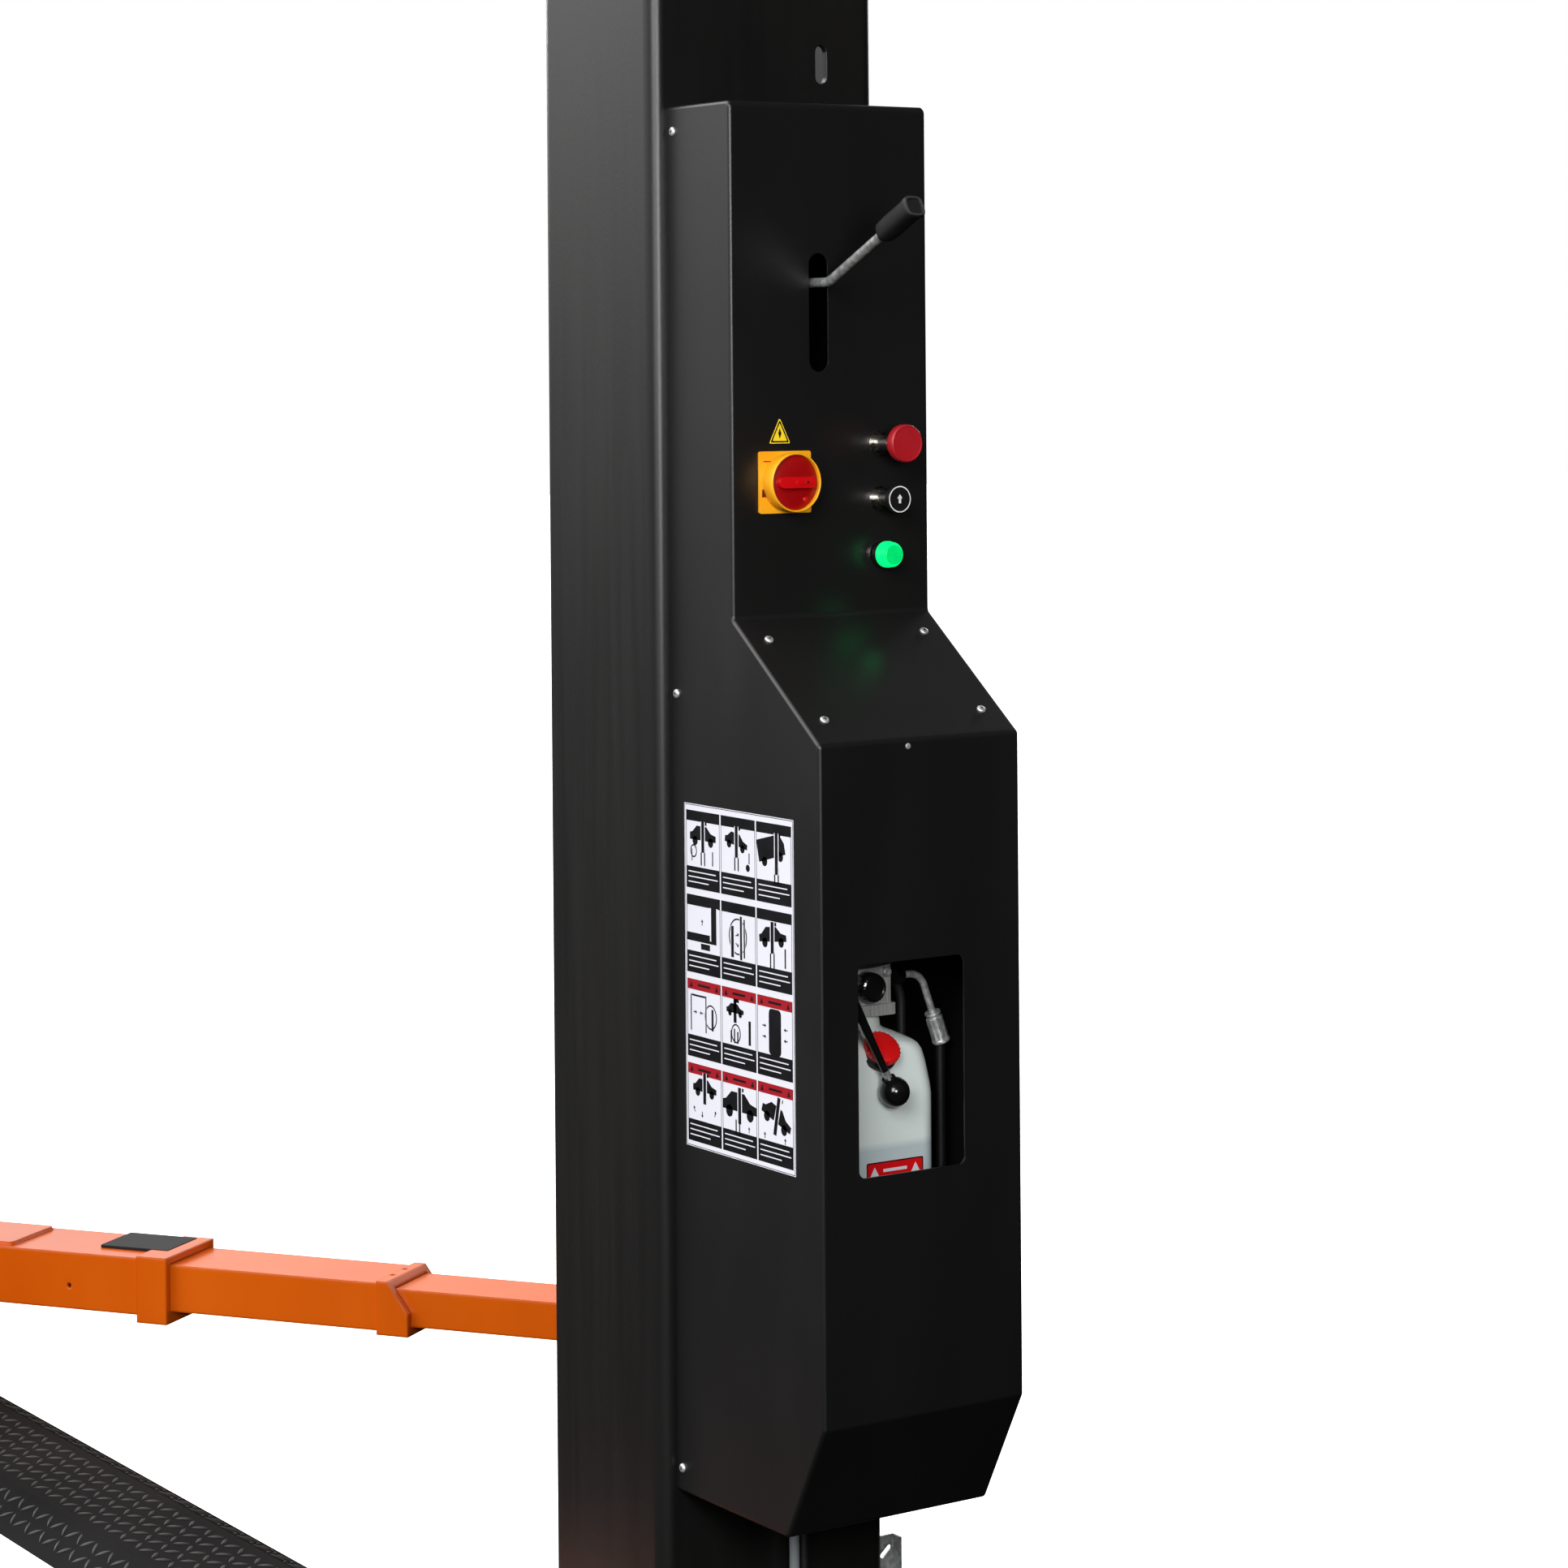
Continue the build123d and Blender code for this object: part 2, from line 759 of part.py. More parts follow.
def pad(side, end, number, axis):
    """Screwed saddle and its rubber."""
    height, bottom = stage(number)[1:]
    frame = arm_plane(side, end)
    seat = bottom + height + arm_gap
    with BuildPart() as saddle:
        with BuildSketch(frame.offset(bottom + 2.0)):
            with Locations((axis, 0)):
                Circle(pad_screw / 2)
        extrude(amount=seat - bottom - 2.0)
        with BuildSketch(frame.offset(seat)):
            with Locations((axis, 0)):
                Circle(pad_radius)
        extrude(amount=pad_plate)
    with BuildPart() as rubber:
        with BuildSketch(frame.offset(seat + pad_plate)):
            with Locations((axis, 0)):
                Circle(pad_radius - 3.0)
        extrude(amount=pad_rubber)
    return Compound([saddle.part.solid(), rubber.part.solid()])


# ---------------------------------------------------------------- control cover
def cover_outline(inset):
    """Side outline of the cover in depth and height, drawn inwards by inset, open at the web."""
    slope = (cover_depth_lower - cover_depth_upper) / (fold_upper - fold_lower)
    foot = (cover_depth_lower - cover_depth_foot) / (foot_fold - cover_bottom)
    ease_slope = inset * ((1 + slope**2) ** 0.5 - 1) / slope
    ease_lower = inset * ((1 + slope**2) ** 0.5 - slope)
    ease_foot = inset * ((1 + foot**2) ** 0.5 - 1) / foot
    run = inset * ((1 + foot**2) ** 0.5 - foot)
    back = web_x - (inset > 0) * sheet
    return [
        (back, cover_top - inset),
        (web_x + cover_depth_upper - inset, cover_top - inset),
        (web_x + cover_depth_upper - inset, fold_upper - ease_slope),
        (web_x + cover_depth_lower - inset, fold_lower - ease_lower / slope),
        (web_x + cover_depth_lower - inset, foot_fold + ease_foot),
        (web_x + cover_depth_foot - run, cover_bottom + inset),
        (back, cover_bottom + inset),
    ]


def control_cover():
    """Folded sheet cover on the power column's web, with its slot, window, button and screw holes."""
    with BuildPart() as cover:
        with BuildSketch(Plane.XZ) as outside:
            Polygon(*cover_outline(0), align=None)
            fillet([corner for corner in outside.vertices() if corner.X > web_x + sheet], cross_bend)
        extrude(amount=cover_width / 2, both=True)
        side_folds = [
            edge
            for edge in cover.edges()
            if abs(abs(edge.center().Y) - cover_width / 2) < 0.01 and edge.center().X > web_x + 1.0
        ]
        fillet(side_folds, sheet_bend)
        with BuildSketch(Plane.XZ) as inside:
            Polygon(*cover_outline(sheet), align=None)
            fillet([corner for corner in inside.vertices() if corner.X > web_x + sheet], cross_bend - sheet)
        extrude(amount=cover_width / 2 - sheet, both=True, mode=Mode.SUBTRACT)
        with BuildSketch(Plane.YZ.offset(web_x + cover_depth_upper)):
            with Locations((lever_slot_y, (lever_slot_low + lever_slot_high) / 2)):
                SlotOverall(lever_slot_high - lever_slot_low, lever_slot_width, rotation=90)
            with Locations((isolator_y, isolator_z), (button_y, estop_z), (button_y, up_button_z)):
                Circle(panel_hole / 2)
            with Locations((button_y, lamp_z)):
                Circle(panel_hole / 2)
        extrude(amount=-2 * sheet, mode=Mode.SUBTRACT)
        with BuildSketch(Plane.YZ.offset(web_x + cover_depth_lower)):
            with Locations((sum(window_y) / 2, sum(window_z) / 2)):
                RectangleRounded(window_y[1] - window_y[0], window_z[1] - window_z[0], window_radius)
            with Locations(rivet_place):
                Circle(rivet_hole / 2)
        extrude(amount=-2 * sheet, mode=Mode.SUBTRACT)
        with BuildSketch(Plane.XY.offset(cover_bottom)):
            with Locations((web_x + line_exit[0] / 2, (pressure_y + return_y) / 2)):
                Rectangle(line_exit[0], line_exit[1])
        extrude(amount=2 * sheet, mode=Mode.SUBTRACT)
        with BuildSketch(Plane.XZ):
            with Locations(*side_screw_places):
                Circle(screw_hole / 2)
        extrude(amount=cover_width, both=True, mode=Mode.SUBTRACT)
        for spot in slope_screw_planes():
            with BuildSketch(spot):
                Circle(screw_hole / 2)
            extrude(amount=2 * sheet, both=True, mode=Mode.SUBTRACT)
    return cover.part


def slope_screw_planes():
    """Planes on the sloped face at its four screws, facing out."""
    depth = cover_depth_lower - cover_depth_upper
    drop = fold_upper - fold_lower
    planes = []
    for share in slope_screw_shares:
        for side in (-1, 1):
            planes.append(
                Plane(
                    origin=(
                        web_x + cover_depth_upper + share * depth,
                        side * slope_screw_y,
                        fold_upper - share * drop,
                    ),
                    x_dir=(0, 1, 0),
                    z_dir=(drop, 0, depth),
                )
            )
    return planes


def cover_screws():
    """Pan-head screws on the sides and on the slope, and one rivet on the lower front."""
    with BuildPart() as screws:
        for side in (-1, 1):
            for place in side_screw_places:
                face = Plane(origin=(place[0], side * cover_width / 2, place[1]), z_dir=(0, side, 0))
                with BuildSketch(face):
                    Circle(screw_head / 2)
                extrude(amount=screw_head_height)
                with BuildSketch(face.offset(-screw_length)):
                    Circle(screw_shank / 2)
                extrude(amount=screw_length)
        for spot in slope_screw_planes():
            with BuildSketch(spot):
                Circle(screw_head / 2)
            extrude(amount=screw_head_height)
            with BuildSketch(spot.offset(-screw_length)):
                Circle(screw_shank / 2)
            extrude(amount=screw_length)
        front = Plane.YZ.offset(web_x + cover_depth_lower)
        with BuildSketch(front):
            with Locations(rivet_place):
                Circle(rivet_hole)
        extrude(amount=1.0)
        with BuildSketch(front.offset(-screw_length)):
            with Locations(rivet_place):
                Circle(rivet_hole / 2 - control_clearance)
        extrude(amount=screw_length)
    return screws.part


def mounting_brackets():
    """Six cover angles, the lever's clevis, the power unit's stand-off and the cable angle beside the web."""
    inner = cover_width / 2 - sheet
    leg = 3.0
    with BuildPart() as brackets:
        for x, z in side_screw_places:
            for side in (-1, 1):
                block((web_x, web_x + 24.0), sorted((side * (inner - leg), side * inner)), (z - 12.0, z + 12.0))
                block((web_x, web_x + leg), sorted((side * (inner - 24.0), side * inner)), (z - 12.0, z + 12.0))
        with BuildSketch(Plane.XZ):
            with Locations(*side_screw_places):
                Circle(screw_hole / 2)
        extrude(amount=cover_width, both=True, mode=Mode.SUBTRACT)
        lever_side = lever_hub / 2 + 1.0
        block(
            (web_x, web_x + leg),
            (lever_slot_y - lever_side - leg, lever_slot_y + lever_side + leg),
            (lever_z - 20.0, lever_z + 20.0),
        )
        for side in (-1, 1):
            ear = sorted((lever_slot_y + side * lever_side, lever_slot_y + side * (lever_side + leg)))
            block((web_x, web_x + lever_pivot_depth + 12.0), ear, (lever_z - 14.0, lever_z + 14.0))
        with BuildSketch(Plane.XZ):
            with Locations((web_x + lever_pivot_depth, lever_z)):
                Circle(lever_pin / 2 + pin_clearance)
        extrude(amount=cover_width, both=True, mode=Mode.SUBTRACT)
        block((web_x, web_x + 6.0), (unit_y - 55.0, unit_y + 55.0), (block_low - 20.0, motor_low + 20.0))
        for side in (-1, 1):
            arm = sorted((unit_y + side * 22.0, unit_y + side * 32.0))
            block((web_x, web_x + unit_depth - block_size[0] / 2), arm, (block_low + 4.0, motor_low - 4.0))
        flange_y = column_width / 2
        face_x = web_x - column_bend
        block((face_x - angle_thickness, face_x), (flange_y, flange_y + angle_leg), angle_z)
        block(
            (face_x, face_x + angle_return),
            (flange_y + angle_leg - angle_thickness, flange_y + angle_leg),
            angle_z,
        )
        with BuildSketch(Plane.YZ.offset(face_x)):
            with Locations((flange_y + angle_leg / 2, angle_z[1] - angle_slot[0])):
                SlotOverall(*angle_slot, rotation=40)
        extrude(amount=-2 * angle_thickness, mode=Mode.SUBTRACT)
    return brackets.part



# ---------------------------------------------------------------- electrical parts and labels
def electrical_enclosure():
    """Open tray on the web that holds the contactor."""
    wall = 2.0
    low, high = enclosure_z
    with BuildPart() as box:
        block((web_x, web_x + enclosure_depth), (-enclosure_half, enclosure_half), (low, high))
        with BuildSketch(Plane.YZ.offset(web_x + wall)):
            with Locations((0, (low + high) / 2)):
                Rectangle(2 * (enclosure_half - wall), high - low - 2 * wall)
        extrude(amount=enclosure_depth, mode=Mode.SUBTRACT)
    return box.part


def isolator_plate():
    """Square plate behind the rotary isolator, with its spindle housing through the panel."""
    front = Plane.YZ.offset(web_x + cover_depth_upper)
    with BuildPart() as plate:
        with BuildSketch(front):
            with Locations((isolator_y, isolator_z)):
                RectangleRounded(isolator_side, isolator_side, 2.0)
        extrude(amount=isolator_plate_thickness)
        with BuildSketch(front.offset(isolator_plate_thickness)):
            with Locations((isolator_y, isolator_z)):
                Circle(panel_hole / 2 - control_clearance)
        extrude(amount=-40.0)
        with BuildSketch(front.offset(isolator_plate_thickness)):
            with Locations((isolator_y, isolator_z)):
                Circle(neck_diameter / 2)
        extrude(amount=-30.0, mode=Mode.SUBTRACT)
    return plate.part


def isolator_knob():
    """Round rotary handle with a raised bar across it and a spindle."""
    seat = web_x + cover_depth_upper + isolator_plate_thickness + arm_gap
    disc = 17.0
    bar = 10.0
    with BuildPart() as knob:
        with BuildSketch(Plane.YZ.offset(seat)):
            with Locations((isolator_y, isolator_z)):
                Circle(knob_diameter / 2)
        extrude(amount=disc, taper=4.0)
        with BuildSketch(Plane.YZ.offset(seat + disc)):
            with Locations((isolator_y, isolator_z)):
                SlotOverall(knob_diameter - 12.0, 13.0)
        extrude(amount=bar)
        with BuildSketch(Plane.YZ.offset(seat)):
            with Locations((isolator_y, isolator_z)):
                Circle(neck_diameter / 2 - control_clearance)
        extrude(amount=-24.0)
    return knob.part


def button_neck(z, proud, bore):
    """Plated barrel that holds a button or a lamp in the panel."""
    front = Plane.YZ.offset(web_x + cover_depth_upper)
    with BuildPart() as neck:
        with BuildSketch(front):
            with Locations((button_y, z)):
                Circle(panel_hole / 2 + 2.0)
        extrude(amount=3.0)
        with BuildSketch(front.offset(3.0)):
            with Locations((button_y, z)):
                Circle(bore / 2 + 2.0)
        extrude(amount=proud - 3.0)
        with BuildSketch(front):
            with Locations((button_y, z)):
                Circle(panel_hole / 2 - control_clearance)
        extrude(amount=-40.0)
        with BuildSketch(front.offset(-35.0)):
            with Locations((button_y, z)):
                Circle(bore / 2)
        extrude(amount=proud + 40.0, mode=Mode.SUBTRACT)
    return neck.part


def estop_button():
    """Mushroom head with a tapered underside, on a stem."""
    under = web_x + cover_depth_upper + neck_proud + estop_travel + 1.0
    radius = estop_diameter / 2
    taper = 12.0
    head = 10.0
    with BuildPart() as button:
        with BuildSketch(Plane.YZ.offset(under)):
            with Locations((button_y, estop_z)):
                Circle(stem_radius)
        extrude(amount=-(neck_proud + estop_travel + 27.0))
        with BuildSketch(Plane.YZ.offset(under)):
            with Locations((button_y, estop_z)):
                Circle(0.62 * radius)
        with BuildSketch(Plane.YZ.offset(under + taper)):
            with Locations((button_y, estop_z)):
                Circle(radius - 1.0)
        loft()
        with BuildSketch(Plane.YZ.offset(under + taper)):
            with Locations((button_y, estop_z)):
                Circle(radius)
        extrude(amount=head)
        fillet(button.faces().sort_by(Axis.X)[-1].edges(), 4.0)
    return button.part


def up_button():
    """Flat round push button on a stem."""
    front = web_x + cover_depth_upper
    under = front + neck_proud + up_travel + 1.0
    with BuildPart() as button:
        with BuildSketch(Plane.YZ.offset(under)):
            with Locations((button_y, up_button_z)):
                Circle(up_button_diameter / 2)
        extrude(amount=8.0)
        with BuildSketch(Plane.YZ.offset(under)):
            with Locations((button_y, up_button_z)):
                Circle(stem_radius)
        extrude(amount=-(under - front + 26.0))
    return button.part


def lamp_lens():
    """Domed lens of the pilot lamp."""
    front = web_x + cover_depth_upper + lamp_seat
    with BuildPart() as lens:
        with BuildSketch(Plane.YZ.offset(front)):
            with Locations((button_y, lamp_z)):
                Circle(lamp_diameter / 2)
        extrude(amount=20.0)
        fillet(lens.faces().sort_by(Axis.X)[-1].edges(), 5.0)
    return lens.part


def hazard_label():
    """Triangular hazard plate."""
    with BuildPart() as triangle:
        with BuildSketch(Plane.YZ.offset(web_x + cover_depth_upper)) as outline:
            Polygon(*hazard_corners, align=None)
            fillet(outline.vertices(), 2.0)
        extrude(amount=label_thickness)
    return triangle.part


def instruction_decal():
    """Rectangular picture guide on the cover's front side."""
    with BuildPart() as decal:
        block(
            (web_x + decal_depth[0], web_x + decal_depth[1]),
            (-cover_width / 2 - label_thickness, -cover_width / 2),
            decal_z,
        )
    return decal.part


# ---------------------------------------------------------------- release lever
def release_lever():
    """Bent rod on a hub with its pin, and the grip on its end."""
    pivot = (web_x + lever_pivot_depth, lever_z)
    rise = radians(lever_rise)
    bend = (web_x + lever_reach, lever_z)
    start = (web_x + lever_grip_start, lever_z + (lever_grip_start - lever_reach) * sin(rise) / cos(rise))
    inside = grip_length - 4.0
    end = (start[0] + inside * cos(rise), start[1] + inside * sin(rise))
    lean = Plane(origin=(start[0], lever_slot_y, start[1]), z_dir=(cos(rise), 0, sin(rise)))
    with BuildPart() as lever:
        with BuildLine():
            line = FilletPolyline(
                (pivot[0] + 8.0, lever_slot_y, pivot[1]),
                (bend[0], lever_slot_y, bend[1]),
                (end[0], lever_slot_y, end[1]),
                radius=30.0,
            )
        with BuildSketch(Plane(origin=line @ 0, z_dir=line % 0)):
            Circle(lever_rod / 2)
        sweep(path=line)
        with BuildSketch(Plane.XZ.offset(-lever_slot_y)):
            with Locations(pivot):
                Circle(lever_rod)
        extrude(amount=lever_hub / 2, both=True)
        with BuildSketch(Plane.XZ.offset(-lever_slot_y)):
            with Locations(pivot):
                Circle(lever_pin / 2)
        extrude(amount=lever_hub / 2 + 6.0, both=True)
    with BuildPart() as grip:
        with BuildSketch(lean):
            Circle(grip_diameter / 2)
        extrude(amount=grip_length)
        fillet(grip.edges().filter_by(GeomType.CIRCLE), 5.0)
        with BuildSketch(lean):
            Circle(lever_rod / 2)
        extrude(amount=inside, mode=Mode.SUBTRACT)
    return Compound([lever.part.solid(), grip.part.solid()])


# ---------------------------------------------------------------- power unit
def motor():
    """Vertical motor with a fan cowl and a terminal box."""
    radius = motor_diameter / 2
    with BuildPart() as body:
        with BuildSketch(Plane.XY.offset(motor_low)):
            with Locations((web_x + unit_depth, unit_y)):
                Circle(radius - 6.0)
        extrude(amount=motor_high - motor_low)
        with BuildSketch(Plane.XY.offset(motor_low)):
            with Locations((web_x + unit_depth, unit_y)):
                Circle(radius)
        extrude(amount=14.0)
        with BuildSketch(Plane.XY.offset(motor_high - 60.0)):
            with Locations((web_x + unit_depth, unit_y)):
                Circle(radius)
        extrude(amount=60.0)
        fillet(body.faces().sort_by(Axis.Z)[-1].edges(), 8.0)
        block(
            (web_x + unit_depth - 40.0, web_x + unit_depth + 40.0),
            (unit_y + radius - 20.0, unit_y + radius + 30.0),
            (motor_low + 60.0, motor_low + 140.0),
        )
    return body.part


def pump_block():
    """Machined valve block on its flange, with a round valve cap on the front."""
    x = web_x + unit_depth
    with BuildPart() as valve:
        half = block_size[0] / 2
        wide = block_size[1] / 2
        block((x - half, x + half), (unit_y - wide, unit_y + wide), (block_low, motor_low))
        block(
            (x - half - 4.0, x + half + 4.0),
            (unit_y - wide - 4.0, unit_y + wide + 4.0),
            (block_low - flange_thickness, block_low),
        )
        with BuildSketch(Plane.YZ.offset(x + half)):
            with Locations((unit_y + 11.0, block_low + 20.0)):
                Circle(15.5)
        extrude(amount=20.0)
        with BuildSketch(Plane.YZ.offset(x + half)):
            with Locations((valve_y, valve_z)):
                Circle(11.0)
        extrude(amount=web_x + valve_depth - 3.0 - slide_gap - x - half)
        with BuildSketch(Plane.YZ.offset(x + half)):
            with Locations((valve_y, valve_z)):
                Circle(5.0 + pin_clearance)
        extrude(amount=web_x + valve_depth - x - half, mode=Mode.SUBTRACT)
    return valve.part


def oil_tank():
    """Moulded translucent tank with a round neck, a sloped shoulder and the filler's spout."""
    x = web_x + unit_depth
    low = block_low - flange_thickness
    with BuildPart() as tank:
        block((x - tank_depth / 2, x + tank_depth / 2), tank_span, (tank_bottom, tank_top))
        fillet(tank.edges().filter_by(Axis.Z), 22.0)
        fillet(tank.faces().sort_by(Axis.Z)[-1].edges(), 18.0)
        with BuildSketch(Plane.XY.offset(tank_top)):
            with Locations((x, unit_y)):
                Circle(tank_neck / 2)
        extrude(amount=low - tank_top)
        with BuildSketch(filler_plane()):
            Circle(filler_radius)
        extrude(amount=filler_length)
        with BuildSketch(filler_plane()):
            Circle(filler_radius)
        extrude(amount=-26.0)
        with BuildSketch(Plane.XY.offset(tank_bottom + tank_wall)):
            with Locations((x, unit_y)):
                RectangleRounded(tank_depth - 2 * tank_wall, tank_width - 2 * tank_wall, 22.0 - tank_wall)
        extrude(amount=tank_top - tank_bottom - 18.0 - tank_wall, mode=Mode.SUBTRACT)
        with BuildSketch(Plane.XY.offset(tank_top - 40.0)):
            with Locations((x, unit_y)):
                Circle(tank_neck / 2 - tank_wall)
        extrude(amount=low - tank_top + 40.0, mode=Mode.SUBTRACT)
        with BuildSketch(filler_plane().offset(filler_length)):
            Circle(filler_radius - tank_wall)
        extrude(amount=-40.0, mode=Mode.SUBTRACT)
    return tank.part


def filler_plane():
    """Plane of the tank's sloped filler mouth."""
    x = web_x + unit_depth + tank_depth / 2 - 15.0
    return Plane(origin=(x, filler_y, tank_top - 10.0), x_dir=(0, 1, 0), z_dir=(1, 0, 1))


def filler_cap():
    """Red cap with a plug that sits in the filler's mouth."""
    seat = filler_plane().offset(filler_length)
    with BuildPart() as cap:
        with BuildSketch(seat):
            Circle(filler_radius + 1.0)
        extrude(amount=8.0)
        fillet(cap.faces().sort_by(Axis((0, 0, 0), (1, 0, 1)))[-1].edges(), 2.5)
        with BuildSketch(seat):
            Circle(filler_radius - tank_wall - control_clearance)
        extrude(amount=-10.0)
    return cap.part


def lowering_lever():
    """Flat lever on the lowering valve, its pivot pin and the ball on its end."""
    x = web_x + valve_depth
    reach = ((ball_y - valve_y) ** 2 + (ball_z - valve_z) ** 2) ** 0.5
    along = Plane(origin=(x - 3.0, valve_y, valve_z), x_dir=(0, ball_y - valve_y, ball_z - valve_z), z_dir=(1, 0, 0))
    with BuildPart() as lever:
        with BuildSketch(along):
            with Locations((reach / 2, 0)):
                SlotCenterToCenter(reach, 11.0)
        extrude(amount=6.0)
        with BuildSketch(Plane.YZ.offset(x)):
            with Locations((valve_y, valve_z)):
                Circle(5.0)
        extrude(amount=-20.0)
    with BuildPart() as ball:
        with Locations((x, ball_y, ball_z)):
            Sphere(ball_diameter / 2)
    bar = lever.part - ball.part
    return Compound([bar.solid(), ball.part.solid()])


def outlet_elbow():
    """Adaptor, bent steel tube and crimped ferrule on the pump's outlet."""
    half = block_size[1] / 2
    start = (outlet[0], unit_y + half, outlet[1])
    bend = (outlet[0], pressure_top[1], outlet[1])
    end = (outlet[0], pressure_top[1], pressure_top[2] + 34.0)
    with BuildPart() as adaptor:
        with BuildSketch(Plane.XZ.offset(-start[1])):
            with Locations((start[0], start[2])):
                RegularPolygon(11.0, 6)
        extrude(amount=-16.0)
    with BuildPart() as ferrule:
        with BuildSketch(Plane.XY.offset(pressure_top[2])):
            with Locations((pressure_top[0], pressure_top[1])):
                Circle(9.5)
        extrude(amount=38.0)
    tube = pipe([start, bend, end], [20.0], 9.0)
    return tube + adaptor.part + ferrule.part


def pressure_hose():
    """Hose from the ferrule, down the web and through it to the foot of the cylinder."""
    x = web_x + line_off_web
    inner_edge = pressure_y - pressure_hose_diameter / 2
    barrel = well_x + ((barrel_diameter / 2) ** 2 - inner_edge**2) ** 0.5
    points = [
        pressure_top,
        (pressure_top[0], pressure_top[1], 655.0),
        (x, pressure_y, 548.0),
        (x, pressure_y, line_z),
        (barrel + slide_gap, pressure_y, line_z),
    ]
    return pipe(points, [70.0, 40.0, 36.0], pressure_hose_diameter)


def return_hose():
    """Second hose, from the pump block to the foot of the cylinder."""
    x = web_x + line_off_web
    inner_edge = return_y - return_hose_diameter / 2
    barrel = well_x + ((barrel_diameter / 2) ** 2 - inner_edge**2) ** 0.5
    half = block_size[1] / 2
    points = [
        (web_x + 112.0, unit_y + half, outlet[1]),
        (web_x + 112.0, unit_y + half + 62.0, outlet[1]),
        (web_x + 112.0, unit_y + half + 62.0, 640.0),
        (x, return_y, 556.0),
        (x, return_y, line_z),
        (barrel + slide_gap, return_y, line_z),
    ]
    return pipe(points, [40.0, 60.0, 40.0, 36.0], return_hose_diameter)


def floor_line():
    """Steel pipe under the floor cover, from one cylinder's foot to the other's."""
    with BuildPart() as line:
        with BuildSketch(Plane.YZ):
            with Locations((0, base_thickness + slide_gap + floor_pipe / 2)):
                Circle(floor_pipe / 2)
        extrude(amount=well_x - barrel_diameter / 2, both=True)
    return line.part


# ---------------------------------------------------------------- write every piece
def write_parts():
    """Build each piece once and write the mirrored ones from it."""
    save_pair(column(), "column")
    save_pair(base_plate(), "base")
    save_pair(rod(), "rod")
    save_pair(sheave(), "sheave")
    save_pair(anchor_chain(), "anchor_chain")
    save_pair(lift_chain(), "lift_chain")
    save_pair(carriage(), "carriage")
    save_pair(slide_blocks(), "slide_blocks")
    save_pair(arm_pins(), "arm_pins")
    save_pair(pawl(), "pawl")
    save_both(column_cap(), "column_caps")
    save_both(cylinder(), "cylinders")
    save_both(ladder(), "latch_ladders")
    save(floor_cover(), "floor_cover")
    save(floor_line(), "floor_line")
    save(control_cover(), "control_cover")
    save(mounting_brackets(), "mounting_brackets")
    save(cover_screws(), "cover_screws")
    save(electrical_enclosure(), "electrical_enclosure")
    save(isolator_plate(), "isolator_plate")
    save(isolator_knob(), "isolator_knob")
    necks = [
        button_neck(estop_z, neck_proud, 2 * (stem_radius + control_clearance)),
        button_neck(up_button_z, neck_proud, 2 * (stem_radius + control_clearance)),
        button_neck(lamp_z, lamp_seat, 2 * stem_radius),
    ]
    save(Compound([neck.solid() for neck in necks]), "button_necks")
    save(estop_button(), "estop_button")
    save(up_button(), "up_button")
    save(lamp_lens(), "lamp_lens")
    save(hazard_label(), "hazard_label")
    save(instruction_decal(), "instruction_decal")
    save(release_lever(), "release_lever")
    save(motor(), "motor")
    save(pump_block(), "pump_block")
    save(oil_tank(), "oil_tank")
    save(filler_cap(), "filler_cap")
    save(lowering_lever(), "lowering_lever")
    save(outlet_elbow(), "outlet_elbow")
    save(pressure_hose(), "pressure_hose")
    save(return_hose(), "return_hose")
    for side, column_name in ((1, "power"), (-1, "offside")):
        write_arms(side, column_name)


def write_arms(side, column_name):
    """Write the two arms of one carriage: the rear one has three tubes, the front one two."""
    out = 1.0 if side < 0 else 0.0
    middle_start = arm_root + root_gap + out * rear_middle_travel
    inner_start = rear_inner_start + out * (rear_middle_travel + rear_inner_travel)
    save(outer_tube(side, 1, rear_outer_length), f"{column_name}_rear_outer")
    save(middle_tube(side, 1, middle_start, rear_middle_length), f"{column_name}_rear_middle")
    save(inner_tube(side, 1, 2, inner_start, rear_inner_length), f"{column_name}_rear_inner")
    save(pad(side, 1, 2, inner_start + rear_inner_length), f"{column_name}_rear_pad")
    front_start = arm_root + root_gap
    save(outer_tube(side, -1, front_outer_length), f"{column_name}_front_outer")
    save(inner_tube(side, -1, 1, front_start, front_inner_length), f"{column_name}_front_inner")
    save(pad(side, -1, 1, front_start + front_inner_length), f"{column_name}_front_pad")


write_parts()
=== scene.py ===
from math import cos, pi, radians, sin

import bmesh
import bpy
import numpy as np
from mathutils import Matrix, Vector


